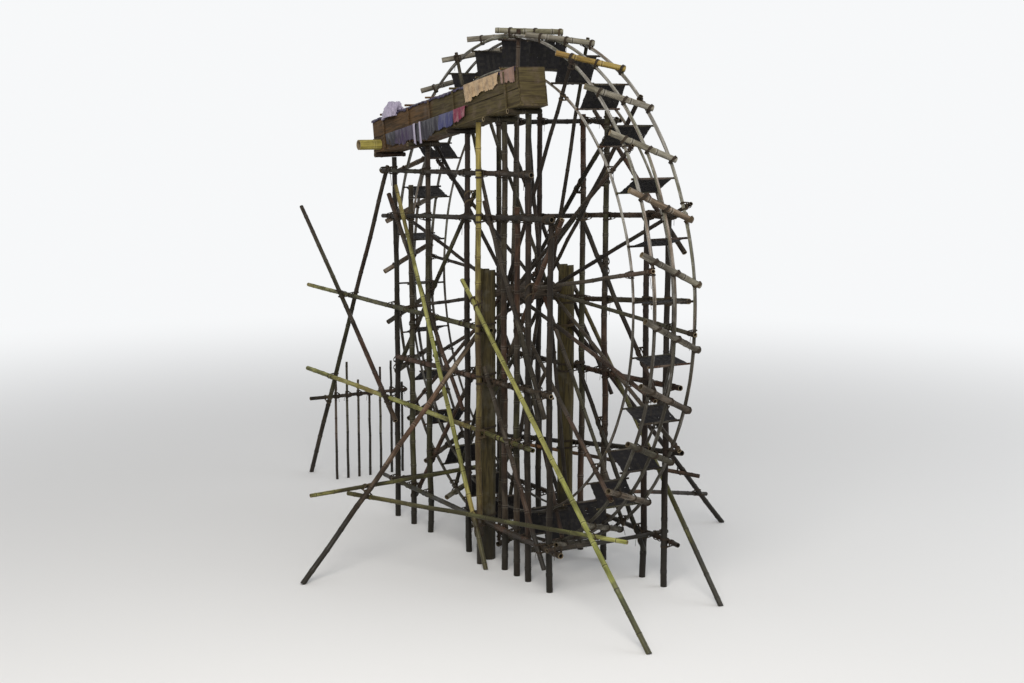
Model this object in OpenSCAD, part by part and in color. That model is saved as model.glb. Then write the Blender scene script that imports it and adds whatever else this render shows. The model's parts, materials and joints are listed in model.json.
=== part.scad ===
// Undershot bamboo water wheel that lifts water in tilted tubes to a trough.
// The wheel turns on a log axle between two forked posts in a lashed pole frame.
// Millimetres. X runs along the axle, towards the river; +Y is upstream; z = 0 is the river bed.

/* [Wheel] */
// Radius of the three rims, to the middle of the bent bamboo
rim_radius = 3500; // [3420:10:3560]
// Radius of the bent bamboo of a rim
rim_bar_r = 25; // [20:1:30]
// Distance from the middle rim to an outer rim
rim_spacing = 300; // [280:5:320]
// Height of the paddles, from the hoop that carries them to the rim
paddle_height = 450; // [350:10:600]
// Radius of the bent bamboo of a hoop
hoop_bar_r = 20; // [16:1:24]
// Bucket tubes round the wheel; as many paddles stand between them
tube_count = 28; // [24:2:28]
// Angle of the first tube above the level of the axle, on the downstream side
first_tube_angle = 10; // [8:1:12]
// Spokes on each side of the wheel
spoke_count = 14; // [12:2:14]
// Radius of a spoke
spoke_r = 30; // [24:1:32]

/* [Bucket tubes] */
// Length of a bucket tube
tube_length = 920; // [880:10:940]
// Outer radius of a bucket tube
tube_r = 40; // [34:1:46]
// Wall of a bucket tube
tube_wall = 6; // [4:1:8]
// Thickness of the closed bamboo node at the end of a tube
tube_node = 12; // [8:1:20]
// Slant of a tube away from the line of the axle
tube_slant = 27; // [22:1:30]
// How far the tubes are set towards the bank, so that their mouths reach out to the trough
tube_shift = 78; // [60:1:82]

/* [Paddles] */
// Thickness of the woven paddle mat
paddle_thickness = 12; // [8:1:20]
// Radius of the two rods that hold a paddle
paddle_rod_r = 14; // [10:1:18]

/* [Axle] */
// Height of the axle above the river bed
axle_height = 3750; // [3720:10:3900]
// Radius of the hub log
hub_r = 120; // [110:5:140]
// Half the length of the hub log
hub_half = 420; // [410:5:440]
// Radius of the axle ends that turn in the forks
journal_r = 55; // [45:1:65]
// How far the axle ends stand out past the bearing posts
axle_overhang = 28; // [10:1:60]
// How deep a spoke sits in the hub log
socket_depth = 30; // [20:5:40]

/* [Bearing posts] */
// Radius of a forked bearing post
bearing_post_r = 120; // [110:5:130]
// Distance from the middle of the wheel to the middle of a bearing post
bearing_post_x = 642; // [635:1:660]
// Height of the fork tips above the axle
fork_rise = 340; // [200:10:400]
// Clearance of the axle in the fork
axle_clearance = 0.3; // [0.2:0.1:1]

/* [Frame poles] */
// Radius of an upright post
post_r = 42; // [36:1:46]
// Radius of a ledger
ledger_r = 36; // [30:1:40]
// Radius of a brace
brace_r = 32; // [26:1:36]
// Radius of a leaning prop, raker or trestle pole
prop_r = 36; // [30:1:40]
// Radius of a cross tie or sill
sill_r = 30; // [24:1:34]
// Gap between poles that are lashed together
lash_gap = 0.3; // [0.2:0.1:0.6]
// Reach of the two props from the middle of the wheel
prop_reach = 3390; // [3300:10:3450]
// Height of the top of the two props
prop_top = 3310; // [3200:10:3400]
// Reach downstream of the bank raker
raker_reach = 4400; // [4300:10:4500]
// Reach downstream of the river raker
river_raker_reach = 3400; // [3200:10:3500]
// Reach upstream of the trestle
trestle_reach = 6100; // [5900:10:6300]

/* [Trough] */
// Length of the trough
trough_length = 4380; // [4300:10:4500]
// Outer width of the trough
trough_width = 420; // [380:10:440]
// Height of the trough walls
trough_wall = 470; // [400:10:500]
// Thickness of the trough boards
board = 25; // [18:1:32]
// Fall of the trough towards its upstream end, in degrees
trough_fall = 9.6; // [7:0.1:11]
// Height of the rim of the trough at its downstream end
trough_top = 6810; // [6740:10:6880]
// Downstream end of the trough, from the axle
trough_start = -1380; // [-1450:10:-1350]
// Distance from the middle of the wheel to the inner wall of the trough
trough_inner_x = 560; // [545:5:580]
// Thickness of the sheet that lines the trough
lining = 4; // [3:1:6]
// Outer radius of the delivery spout
spout_r = 75; // [68:1:80]
// Bore radius of the delivery spout
spout_bore_r = 63; // [58:1:66]
// Length of the delivery spout
spout_length = 375; // [300:5:420]
// Distance from the spout to the upstream end of the trough
spout_from_end = 230; // [150:5:300]
// Length of the sack cloth over the outer wall
cloth_length = 780; // [400:10:900]
// Distance from the downstream end of the trough to the cloth
cloth_from_end = 570; // [400:10:900]
// How far the sack cloth hangs down the outer wall
cloth_drop = 230; // [150:10:350]

/* [Trash rack] */
// Stakes in the rack that keeps drift off the wheel
stake_count = 7; // [5:1:9]
// Radius of a stake
stake_r = 22; // [16:1:26]
// Height of the rail of the rack
rack_rail_z = 1450; // [1300:10:1600]

/* [Hidden] */

round_fn = 48;
bank = -1;
river = 1;
rising_count = 12;

// Layers of poles, counted outwards from the posts on each side of the wheel
post_x = bearing_post_x + bearing_post_r - post_r;
ledger_x = post_x + post_r + lash_gap + ledger_r;
brace_x = ledger_x + ledger_r + lash_gap + brace_r;
inner_brace_x = post_x - post_r - lash_gap - brace_r;
prop_y = bearing_post_r + lash_gap + prop_r;
tall_post_y = -200;
tall_post_x = ledger_x + ledger_r + lash_gap + post_r;
outer_brace_x = tall_post_x + post_r + lash_gap + brace_r;

hoop_radius = rim_radius - paddle_height;
tube_pitch = 360 / tube_count;
paddle_angle = first_tube_angle + tube_pitch / 2;
tube_radius = rim_radius + rim_bar_r + lash_gap + tube_r;
outer_spoke_x = rim_spacing + rim_bar_r + lash_gap + spoke_r;
inner_spoke_x = rim_spacing - rim_bar_r - lash_gap - spoke_r;

// Geometry of poles: a pole is [start, end, radius]
function unit(v) = v / norm(v);
function pole_dir(p) = unit(p[1] - p[0]);
function at_height(p, z) = p[0] + (p[1] - p[0]) * (z - p[0][2]) / (p[1][2] - p[0][2]);
function foot_half(r, run, rise) = r * norm([run, rise]) / rise;
function upright(x, y, top, r) = [[x, y, 0], [x, y, top], r];
function in_side(x, y1, z1, y2, z2, r) = [[x, y1, z1], [x, y2, z2], r];

// A pole laid across two others: its axis is moved off both until it just clears them
function seat(on, at, face, along, r) =
    at + face * unit(cross(pole_dir(on), along)) * (on[2] + r + lash_gap);
function laid(on_a, at_a, face_a, on_b, at_b, face_b, r, turns = 8, along = undef) =
    let (
        line = is_undef(along) ? at_b - at_a : along,
        a = seat(on_a, at_a, face_a, line, r),
        b = seat(on_b, at_b, face_b, line, r)
    )
    turns == 0 ? [a, b, r] : laid(on_a, at_a, face_a, on_b, at_b, face_b, r, turns - 1, b - a);
function overrun(p, before, after) =
    [p[0] - pole_dir(p) * before, p[1] + pole_dir(p) * after, p[2]];

module pole(p) {
    run = p[1] - p[0];
    translate(p[0])
        rotate([0, acos(run[2] / norm(run)), atan2(run[1], run[0])])
            cylinder(h = norm(run), r = p[2], $fn = round_fn);
}

module poles(list) {
    for (p = list) pole(p);
}

// Leaning poles start at the bed and are cut level there
module leaning_poles(list) {
    for (p = list)
        difference() {
            pole(overrun(p, 4 * p[2], 0));
            translate([p[0][0], p[0][1], -10 * p[2]])
                linear_extrude(10 * p[2]) square(30 * p[2], center = true);
        }
}

// Trough line: local y runs down the trough from its downstream end, local z = 0 is its rim
function trough_z(ly, lz) = trough_top - ly * sin(trough_fall) + lz * cos(trough_fall);
bearer_drop = trough_wall + board + lash_gap + ledger_r;
function bearer_ly(y) = (y - trough_start + bearer_drop * sin(trough_fall)) / cos(trough_fall);
function bearer_z(y) = trough_z(bearer_ly(y), -bearer_drop);

// Uprights
bearer_ys = [-1250, -620, 400, 1600, 2700];
short_bank_posts = [[-1800, 4950], [-950, 5000], [2150, 5150]];
bank_post_poles = concat(
    [for (y = bearer_ys) upright(-post_x, y, bearer_z(y) - ledger_r - lash_gap, post_r)],
    [for (q = short_bank_posts) upright(-post_x, q[0], q[1], post_r)]
);
river_post_tops = [
    [-2350, 4950], [-1850, 4900], [-900, 6250], [-300, 6200], [850, 6200], [1200, 5200],
    [1500, 6250], [2050, 6200]
];
river_post_poles = [for (q = river_post_tops) upright(post_x, q[0], q[1], post_r)];
tall_post_top = trough_z(bearer_ly(tall_post_y), -trough_wall - board) - 3 * lash_gap
    - post_r * sin(trough_fall);
tall_post_poles = [upright(-tall_post_x, tall_post_y, tall_post_top, post_r)];

// Ledgers, braces and cross braces are given as y, z at the upper and y, z at the lower end
low_ledger_z = 600;
bank_ledger_lines = [
    [3000, low_ledger_z, -2200, low_ledger_z], [2500, 2540, -1950, 2640],
    [2950, 4650, -1950, 4900], [2950, 5340, -1450, 5440]
];
river_ledger_lines = [
    [2600, low_ledger_z, -2550, low_ledger_z], [2250, 1200, -2600, 1850], [2250, 2560, -2550, 2700],
    [2200, 3400, -2700, 3850], [2300, 4600, -2600, 4950], [2250, 6060, -1100, 6120]
];
upstream_ledger_lines = [[6000, 1850, -1500, 1850], [5900, 3300, -400, 3300]];
function side_poles(x, lines, r) = [for (q = lines) in_side(x, q[0], q[1], q[2], q[3], r)];
bank_ledger_poles = side_poles(-ledger_x, bank_ledger_lines, ledger_r);
river_ledger_poles = side_poles(ledger_x, river_ledger_lines, ledger_r);
upstream_ledger_poles = side_poles(-ledger_x, upstream_ledger_lines, ledger_r);

// Braces lie outside the ledgers, and cross braces on the inner face of the posts
bank_brace_lines = [[2600, 5000, 300, 2100], [-330, 5050, -1900, 2350], [-330, 2800, -1900, 350]];
river_brace_lines = [[2200, 6000, -850, 2350], [-350, 6250, -2500, 4450], [2200, 2900, 350, 400]];
bank_cross_lines = [[2800, 2300, 300, 5150], [-1950, 4900, -250, 2450], [2300, 350, 280, 2700]];
river_cross_lines = [
    [1580, 3370, -1250, 6150], [930, 3830, -1050, 5450], [-2450, 2300, -450, 4710],
    [2150, 300, 300, 2800], [-2000, 400, -280, 2750]
];
bank_brace_poles = side_poles(-brace_x, bank_brace_lines, brace_r);
river_brace_poles = side_poles(brace_x, river_brace_lines, brace_r);
bank_cross_poles = side_poles(-inner_brace_x, bank_cross_lines, brace_r);
river_cross_poles = side_poles(inner_brace_x, river_cross_lines, brace_r);
long_brace_foot = -500;
long_brace_top = [2190, 5150];
long_brace_pole =
    in_side(-outer_brace_x, long_brace_foot, 0, long_brace_top[0], long_brace_top[1], brace_r);

// Props square to the wheel, rakers along it, and the trestle upstream
prop_top_x = 600;
bank_prop_pole = [[-prop_reach, prop_y, 0], [-prop_top_x, prop_y, prop_top], prop_r];
river_prop_pole = [[prop_reach, -prop_y, 0], [prop_top_x, -prop_y, prop_top], prop_r];
raker_top = [150, 3950];
bank_raker_pole = in_side(-outer_brace_x, -raker_reach, 0, raker_top[0], raker_top[1], brace_r);
river_raker_top = [100, 3720];
river_raker_pole =
    in_side(brace_x, -river_raker_reach, 0, river_raker_top[0], river_raker_top[1], brace_r);
trestle_inner_x = ledger_x - ledger_r - lash_gap - prop_r;
trestle_outer_x = ledger_x + ledger_r + lash_gap + prop_r;
trestle_top = [2920, 5400];
trestle_cross = [5970, 4620, 2450, 1560];
trestle_foot_pole = in_side(-trestle_inner_x, trestle_reach, 0, trestle_top[0], trestle_top[1], prop_r);
trestle_cross_pole = side_poles(-trestle_outer_x, [trestle_cross], prop_r)[0];

// Sills lashed to the props: heights of the two crossings, and how far each end runs on past them
upper_bank_sill_z = [1200, 1200];
lower_bank_sill_z = [1110, 1120];
lower_river_sill_z = [520, 1000];
upper_river_sill_z = [900, 1300];
upper_bank_sill_ends = [900, 200];
lower_bank_sill_ends = [350, 500];
lower_river_sill_ends = [300, 150];
upper_river_sill_ends = [250, 200];
bank_sill_poles = [
    overrun(laid(bank_prop_pole, at_height(bank_prop_pole, upper_bank_sill_z[0]), 1,
                 bank_post_poles[2], [-post_x, bearer_ys[2], upper_bank_sill_z[1]], 1, sill_r),
            upper_bank_sill_ends[0], upper_bank_sill_ends[1]),
    overrun(laid(bank_prop_pole, at_height(bank_prop_pole, lower_bank_sill_z[0]), 1,
                 bank_raker_pole, at_height(bank_raker_pole, lower_bank_sill_z[1]), 1, sill_r),
            lower_bank_sill_ends[0], lower_bank_sill_ends[1])
];
river_sill_poles = [
    overrun(laid(river_prop_pole, at_height(river_prop_pole, lower_river_sill_z[0]), -1,
                 river_post_poles[2], [post_x, river_post_tops[2][0], lower_river_sill_z[1]], 1,
                 sill_r),
            lower_river_sill_ends[0], lower_river_sill_ends[1]),
    overrun(laid(river_prop_pole, at_height(river_prop_pole, upper_river_sill_z[0]), 1,
                 river_post_poles[4], [post_x, river_post_tops[4][0], upper_river_sill_z[1]], 1,
                 sill_r),
            upper_river_sill_ends[0], upper_river_sill_ends[1])
];

// Ties laid across the low ledgers
tie_z = low_ledger_z + ledger_r + lash_gap + sill_r;
tie_ys = [-2100, 2430];
tie_overhang = 150;
tie_half = ledger_x + tie_overhang;
cross_tie_poles = [for (y = tie_ys) [[-tie_half, y, tie_z], [tie_half, y, tie_z], sill_r]];

// Trash rack: a rail on the upstream side of the trestle, stakes on its upstream side
trestle_lean = unit([trestle_reach - trestle_top[0], trestle_top[1]]);
rack_y = at_height(trestle_foot_pole, rack_rail_z)[1] + (prop_r + lash_gap + sill_r) / trestle_lean[1];
rack_from = -1050;
rack_to = 750;
rack_rail_pole = [[rack_from, rack_y, rack_rail_z], [rack_to, rack_y, rack_rail_z], sill_r];
stake_y = rack_y + sill_r + lash_gap + stake_r;
first_stake = 490;
last_stake = 70;
stake_from = rack_from + first_stake;
stake_step = (rack_to - last_stake - stake_from) / (stake_count - 1);
stake_rise = 300;
stake_spread = 260;
stake_poles = [for (i = [0:stake_count - 1])
    upright(stake_from + i * stake_step, stake_y,
            rack_rail_z + stake_rise + stake_spread * sin(i * 97), stake_r)];

// The origin is under the middle of the footprint
upstream_extent = trestle_reach
    + foot_half(prop_r, trestle_reach - trestle_top[0], trestle_top[1]);
downstream_extent = raker_reach + foot_half(brace_r, raker_reach + raker_top[0], raker_top[1]);
mid_y = (upstream_extent - downstream_extent) / 2;

module placed() {
    translate([0, -mid_y, 0]) children();
}

// On the wheel: angle zero is downstream at axle height, and angles grow upwards
module at_wheel(angle) {
    translate([0, 0, axle_height]) rotate([-angle, 0, 0]) children();
}

module ring(x, radius, bar_r) {
    translate([x, 0, axle_height])
        rotate([0, 90, 0])
            rotate_extrude($fn = 180) translate([radius, 0]) circle(r = bar_r, $fn = 24);
}

// Wheel
function spoke_angle(side, i) =
    first_tube_angle + (side == bank ? 0 : tube_pitch) + i * 360 / spoke_count;
function spoke_x(side, i) = side * (i % 2 == 0 ? outer_spoke_x : inner_spoke_x);

module spoke_shape(side, i, r, from) {
    at_wheel(spoke_angle(side, i))
        translate([spoke_x(side, i), -from, 0])
            rotate([90, 0, 0]) cylinder(h = rim_radius - from, r = r, $fn = round_fn);
}

axle_length = 2 * (bearing_post_x + bearing_post_r + axle_overhang);

module axle() {
    placed() color("#4a4238") difference() {
        translate([0, 0, axle_height]) rotate([0, 90, 0]) union() {
            cylinder(h = 2 * hub_half, r = hub_r, center = true, $fn = 64);
            cylinder(h = axle_length, r = journal_r, center = true, $fn = 64);
        }
        for (side = [bank, river], i = [0:spoke_count - 1])
            spoke_shape(side, i, spoke_r + lash_gap, hub_r - socket_depth);
    }
}

module spokes(side) {
    placed() color("#57493a")
        for (i = [0:spoke_count - 1])
            spoke_shape(side, i, spoke_r, hub_r - socket_depth + lash_gap);
}

module bank_spokes() {
    spokes(bank);
}

module river_spokes() {
    spokes(river);
}

module bank_rim() {
    placed() color("#8f877b") ring(-rim_spacing, rim_radius, rim_bar_r);
}

module middle_rim() {
    placed() color("#8f877b") ring(0, rim_radius, rim_bar_r);
}

module river_rim() {
    placed() color("#8f877b") ring(rim_spacing, rim_radius, rim_bar_r);
}

module bank_hoop() {
    placed() color("#6e6354") ring(-rim_spacing, hoop_radius, hoop_bar_r);
}

module river_hoop() {
    placed() color("#6e6354") ring(rim_spacing, hoop_radius, hoop_bar_r);
}

paddle_inner = hoop_radius + hoop_bar_r + lash_gap + paddle_rod_r;
paddle_outer = rim_radius - rim_bar_r - lash_gap - paddle_rod_r;
mat_margin = 3;
rod_overhang = 5;
paddle_half = rim_spacing - rim_bar_r - mat_margin;
rod_half = rim_spacing + rim_bar_r + rod_overhang;

// A woven mat between two rods: the outer rod lies under the rims, the inner one on the hoops
module paddle() {
    translate([-paddle_half, -paddle_outer, -paddle_thickness / 2])
        cube([2 * paddle_half, paddle_outer - paddle_inner, paddle_thickness]);
    for (r = [paddle_inner, paddle_outer])
        translate([0, -r, 0]) rotate([0, 90, 0])
            cylinder(h = 2 * rod_half, r = paddle_rod_r, center = true, $fn = 24);
}

module paddles() {
    placed() color("#2b2723")
        for (i = [0:tube_count - 1]) at_wheel(paddle_angle + i * tube_pitch) paddle();
}

// A bucket tube lies on the rims: its open mouth leads on the bank side, its river end is closed
module bucket_tube() {
    translate([-tube_shift, -tube_radius, 0]) rotate([0, tube_slant, 0])
        difference() {
            rotate([0, 90, 0]) cylinder(h = tube_length, r = tube_r, center = true, $fn = round_fn);
            translate([-tube_node, 0, 0]) rotate([0, 90, 0])
                cylinder(h = tube_length, r = tube_r - tube_wall, center = true, $fn = round_fn);
        }
}

module tube_run(first, last) {
    for (i = [first:last]) at_wheel(first_tube_angle + i * tube_pitch) bucket_tube();
}

module rising_tubes() {
    placed() color("#77684f") tube_run(-5, rising_count - 6);
}

module falling_tubes() {
    placed() color("#77684f") tube_run(rising_count - 5, tube_count - 6);
}

// Frame
module bearing_post(side) {
    top = axle_height + fork_rise;
    seat_r = journal_r + axle_clearance;
    placed() color("#5f5233") translate([side * bearing_post_x, 0, 0]) difference() {
        cylinder(h = top, r = bearing_post_r, $fn = 64);
        translate([0, 0, axle_height]) rotate([0, 90, 0])
            cylinder(h = 4 * bearing_post_r, r = seat_r, center = true, $fn = 64);
        translate([-2 * bearing_post_r, -seat_r, axle_height])
            cube([4 * bearing_post_r, 2 * seat_r, 2 * fork_rise]);
    }
}

module bank_bearing_post() {
    bearing_post(bank);
}

module river_bearing_post() {
    bearing_post(river);
}

module bank_posts() {
    placed() color("#4a3d2c") poles(bank_post_poles);
}

module river_posts() {
    placed() color("#4a3d2c") poles(river_post_poles);
}

module tall_post() {
    placed() color("#9a8540") poles(tall_post_poles);
}

module bank_ledgers() {
    placed() color("#43382b") poles(bank_ledger_poles);
}

module river_ledgers() {
    placed() color("#43382b") poles(river_ledger_poles);
}

module upstream_ledgers() {
    placed() color("#8a8345") poles(upstream_ledger_poles);
}

module bank_braces() {
    placed() color("#43382b") {
        poles(bank_brace_poles);
        leaning_poles([long_brace_pole]);
    }
}

module river_braces() {
    placed() color("#43382b") poles(river_brace_poles);
}

module bank_cross_braces() {
    placed() color("#43382b") poles(bank_cross_poles);
}

module river_cross_braces() {
    placed() color("#43382b") poles(river_cross_poles);
}

module bank_prop() {
    placed() color("#5a4a35") leaning_poles([bank_prop_pole]);
}

module river_prop() {
    placed() color("#5a4a35") leaning_poles([river_prop_pole]);
}

module bank_raker() {
    placed() color("#8a8345") leaning_poles([bank_raker_pole]);
}

module river_raker() {
    placed() color("#6b6336") leaning_poles([river_raker_pole]);
}

module bank_sills() {
    placed() color("#5a4a35") poles(bank_sill_poles);
}

module river_sills() {
    placed() color("#5a4a35") poles(river_sill_poles);
}

module cross_ties() {
    placed() color("#43382b") poles(cross_tie_poles);
}

module trestle() {
    placed() color("#3d3428") {
        leaning_poles([trestle_foot_pole]);
        poles([trestle_cross_pole]);
    }
}

module rack_rail() {
    placed() color("#3d3428") poles([rack_rail_pole]);
}

module rack_stakes() {
    placed() color("#4a4033") poles(stake_poles);
}

// Trough
module on_trough() {
    placed() translate([0, trough_start, trough_top]) rotate([-trough_fall, 0, 0]) children();
}

trough_outer_x = trough_inner_x + trough_width;
spout_lift = 2;
cloth_depth = 10;
bearer_out = 60;
bearer_in = 20;
trough_bearer_poles = [for (y = bearer_ys) [
    [-trough_outer_x - bearer_out, y, bearer_z(y)], [-trough_inner_x + bearer_in, y, bearer_z(y)], ledger_r
]];

module trough_bearers() {
    placed() color("#43382b") poles(trough_bearer_poles);
}

module trough_floor() {
    on_trough() color("#5d4128")
        translate([-trough_outer_x, 0, -trough_wall - board]) cube([trough_width, trough_length, board]);
}

module trough_inner_wall() {
    on_trough() color("#6b4a2d")
        translate([-trough_inner_x - board, 0, -trough_wall]) cube([board, trough_length, trough_wall]);
}

spout_ly = trough_length - spout_from_end;
spout_lz = -trough_wall + spout_r + lining + spout_lift;

module spout_shape(r, start, length) {
    translate([start, spout_ly, spout_lz]) rotate([0, -90, 0])
        cylinder(h = length, r = r, $fn = round_fn);
}

module trough_outer_wall() {
    on_trough() color("#6b4a2d") difference() {
        translate([-trough_outer_x, 0, -trough_wall]) cube([board, trough_length, trough_wall]);
        spout_shape(spout_r + lash_gap, -trough_outer_x + 2 * board, 4 * board);
    }
}

module trough_end_boards() {
    on_trough() color("#5d4128")
        for (ly = [0, trough_length - board])
            translate([-trough_outer_x + board, ly, -trough_wall])
                cube([trough_width - 2 * board, board, trough_wall]);
}

// Plastic sheet pressed into the trough: a floor and two sides
module trough_lining() {
    inner = trough_width - 2 * board;
    run = trough_length - 2 * board;
    on_trough() color("#4a4f8c") difference() {
        translate([-trough_outer_x + board, board, -trough_wall]) cube([inner, run, trough_wall]);
        translate([-trough_outer_x + board + lining, 0, -trough_wall + lining])
            cube([inner - 2 * lining, trough_length, trough_wall + 1]);
        spout_shape(spout_bore_r, -trough_outer_x + 2 * board, 4 * board);
    }
}

// Sack cloth that hangs over the outer wall
module trough_patch() {
    on_trough() color("#b39a72")
        translate([-trough_outer_x - cloth_depth, cloth_from_end, -cloth_drop])
            cube([cloth_depth, cloth_length, cloth_drop]);
}

module spout() {
    on_trough() color("#8f7f48") difference() {
        spout_shape(spout_r, -trough_outer_x + board, spout_length);
        spout_shape(spout_bore_r, -trough_outer_x + 2 * board, spout_length + 4 * board);
    }
}

axle();
bank_spokes();
river_spokes();
bank_rim();
middle_rim();
river_rim();
bank_hoop();
river_hoop();
paddles();
rising_tubes();
falling_tubes();
bank_bearing_post();
river_bearing_post();
bank_posts();
river_posts();
tall_post();
bank_ledgers();
river_ledgers();
upstream_ledgers();
bank_braces();
river_braces();
bank_cross_braces();
river_cross_braces();
bank_prop();
river_prop();
bank_raker();
river_raker();
bank_sills();
river_sills();
cross_ties();
trestle();
rack_rail();
rack_stakes();
trough_bearers();
trough_floor();
trough_inner_wall();
trough_outer_wall();
trough_end_boards();
trough_lining();
trough_patch();
spout();
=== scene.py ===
"""Dresses the bamboo water wheel: culms, lashings, bucket tubes, woven paddles and trough.

Every piece is a surface worked out as arrays of points. A culm is a profile of node swellings
carried along a slightly bowed line; a lashing is a set of closed loops round two crossing poles.
"""
import json
import math

import bpy
import numpy as np
from bpy.props import FloatProperty, FloatVectorProperty, IntProperty, PointerProperty
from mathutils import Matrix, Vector


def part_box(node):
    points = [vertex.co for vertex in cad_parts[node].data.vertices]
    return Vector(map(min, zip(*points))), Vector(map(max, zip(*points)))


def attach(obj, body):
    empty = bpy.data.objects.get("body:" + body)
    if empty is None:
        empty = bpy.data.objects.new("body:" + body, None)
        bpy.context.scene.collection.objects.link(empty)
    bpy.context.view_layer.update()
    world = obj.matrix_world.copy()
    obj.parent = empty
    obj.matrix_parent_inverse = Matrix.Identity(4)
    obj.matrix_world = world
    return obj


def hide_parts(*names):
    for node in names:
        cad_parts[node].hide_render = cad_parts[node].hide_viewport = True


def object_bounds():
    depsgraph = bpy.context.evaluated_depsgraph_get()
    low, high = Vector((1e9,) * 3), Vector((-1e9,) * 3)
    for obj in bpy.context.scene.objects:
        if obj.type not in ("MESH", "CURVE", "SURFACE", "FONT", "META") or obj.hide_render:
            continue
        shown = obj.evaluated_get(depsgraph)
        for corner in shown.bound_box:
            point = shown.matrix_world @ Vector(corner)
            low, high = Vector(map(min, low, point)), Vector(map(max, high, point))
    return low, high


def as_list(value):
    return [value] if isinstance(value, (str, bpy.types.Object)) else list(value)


bl_info = {
    "name": "Bamboo water wheel",
    "version": (1, 0, 0),
    "blender": (4, 5, 0),
    "location": "3D View > Sidebar > Water wheel",
    "description": "Builds the culms, lashings, tubes, paddles and trough of a bamboo water wheel",
    "category": "Add Mesh",
}

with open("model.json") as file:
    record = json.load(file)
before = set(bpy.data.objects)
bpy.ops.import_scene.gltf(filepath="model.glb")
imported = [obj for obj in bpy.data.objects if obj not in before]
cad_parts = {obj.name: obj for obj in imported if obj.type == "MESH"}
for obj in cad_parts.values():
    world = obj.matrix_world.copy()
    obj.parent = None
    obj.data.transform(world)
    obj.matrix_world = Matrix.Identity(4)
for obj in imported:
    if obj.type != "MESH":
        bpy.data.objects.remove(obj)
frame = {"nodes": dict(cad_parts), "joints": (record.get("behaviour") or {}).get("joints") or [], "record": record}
CAD_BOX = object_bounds()

TURN = 2 * np.pi
AXLE = np.array([1.0, 0.0, 0.0])
FRAME_BODY = "frame"
WHEEL_BODY = "wheel"
HUB = np.array(frame["joints"][0]["pos_m"], float)
BACKGROUND = (0.93, 0.94, 0.95)
SLOTS = {part["node"]: part["material_slot"] for part in frame["record"]["subparts"]}
POST_NODES = ("bank_bearing_post", "river_bearing_post")
TUBE_NODES = ("rising_tubes", "falling_tubes")
SPOKE_NODES = ("bank_spokes", "river_spokes")
RIM_NODES = ("bank_rim", "middle_rim", "river_rim")
HOOP_NODES = ("bank_hoop", "river_hoop")
POLE_NODES = (
    "bank_posts", "river_posts", "tall_post", "bank_ledgers", "river_ledgers", "upstream_ledgers",
    "bank_braces", "river_braces", "bank_cross_braces", "river_cross_braces", "bank_prop", "river_prop",
    "bank_raker", "river_raker", "bank_sills", "river_sills", "cross_ties", "trestle", "rack_rail",
    "rack_stakes", "trough_bearers",
)
# The finish of a node's lowest poles, and how stained each is, evenly spaced from its foot to its
# top, or from its upstream end. The other poles have the node's own finish.
POLE_LOOKS = {
    "tall_post": [("yellow_bamboo", (1.0, 0.9, 0.75, 0.9, 0.55, 0.1, 0.0))],
    "upstream_ledgers": [
        ("green_bamboo", (0.5, 0.15, 0.2, 0.5, 0.8)), ("green_bamboo", (0.3, 0.9, 0.9, 0.8))],
    "bank_raker": [("green_bamboo", (0.2, 0.05, 0.1, 0.35))],
    "river_raker": [("green_bamboo", (0.9, 0.7, 0.8, 0.95))],
    "bank_braces": [("green_bamboo", (0.15, 0.3, 0.1, 0.45, 0.5))],
    "bank_prop": [("tan_bamboo", (1.0, 1.0, 0.75, 0.35, 0.45, 0.85))],
    "bank_sills": [
        ("green_bamboo", (0.6, 1.0, 0.95, 0.9, 0.1)), ("green_bamboo", (0.85, 1.0, 0.95, 0.9, 0.5))],
    "river_sills": [
        ("rust_bamboo", (0.95, 0.95, 0.9, 0.7, 0.2)), ("rust_bamboo", (0.95, 0.9, 0.9, 0.6, 0.15))],
}
# Depth of a culm's septum inside a cut end
SEPTUM_DEPTH = 0.05
# Poles touch where the gap between them is less than this
TOUCHING = 0.0015
# Length of pole that a square lashing takes up beyond the other pole
LASHING_ROOM = 0.045
# Least sine of the poles' angle for a square lashing, and for a round one with crossed turns
SQUARE_FROM, CROSSED_FROM = 0.34, 0.95
# Step from turn to turn of a lashing, in radii of the cord
CORD_STEP = 1.9
# Share of the lashings whose cord has a loose tail
TAILED = 0.5
# Radius of the axle's turned ends in their forks, as a share of the hub log's
JOURNAL_SHARE = 55.3 / 120.0
# Place on the wheel of the one tube of fresh yellow bamboo, in degrees from its downstream side
YELLOW_TUBE = 61.4
TUBE_WALL = 0.006
PADDLE_ROD = 0.014
# Shares of the mats' strips that are lost, of those that run outwards and of the level ones
LOST_OUTWARD, LOST_LEVEL = 0.03, 0.04
# Half a strip's width in steps from strip to strip, and its lift at a crossing in thicknesses
HALF_STRIP, STRIP_LIFT = 0.52, 0.8
# Height of the joint between the two boards of a wall, as a share of the wall, and half its gap
JOINT = 0.42
JOINT_GAP = 0.006
# Rounding of a board's edges
EDGE = 0.004
# Length of the board that the spout passes through
SPOUT_BOARD = 0.432
# Half the gap between the floor's two boards
FLOOR_GAP = 0.002
# Places along the trough of the battens and rods, but for the last one
BATTENS = (0.3, 1.72, 2.45, 3.1)
# Thickness and width of a batten, and radius of a rod
BATTEN = (0.016, 0.036)
ROD = 0.016
# Thickness of the plastic sheets and of the rags, the step between a cloth's rows, and the place
# of the bunched sheet along the trough
PLASTIC = 0.0015
RAG = 0.0025
CLOTH_STEP = 0.0095
BUNCH_PLACE = 3.67
# Length of the lining's path outside the trough, of which its free edge takes up a part
OUTSIDE = 0.2
# Radius of the stage's floor, and where it begins and ends to fade
FLOOR_RADIUS = 90
FADE = (6.0, 26.0)
# Heights of the water at the poles' feet, and of water that never comes
WATER_LEVEL = 0.42
DRY = -9.0
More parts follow.
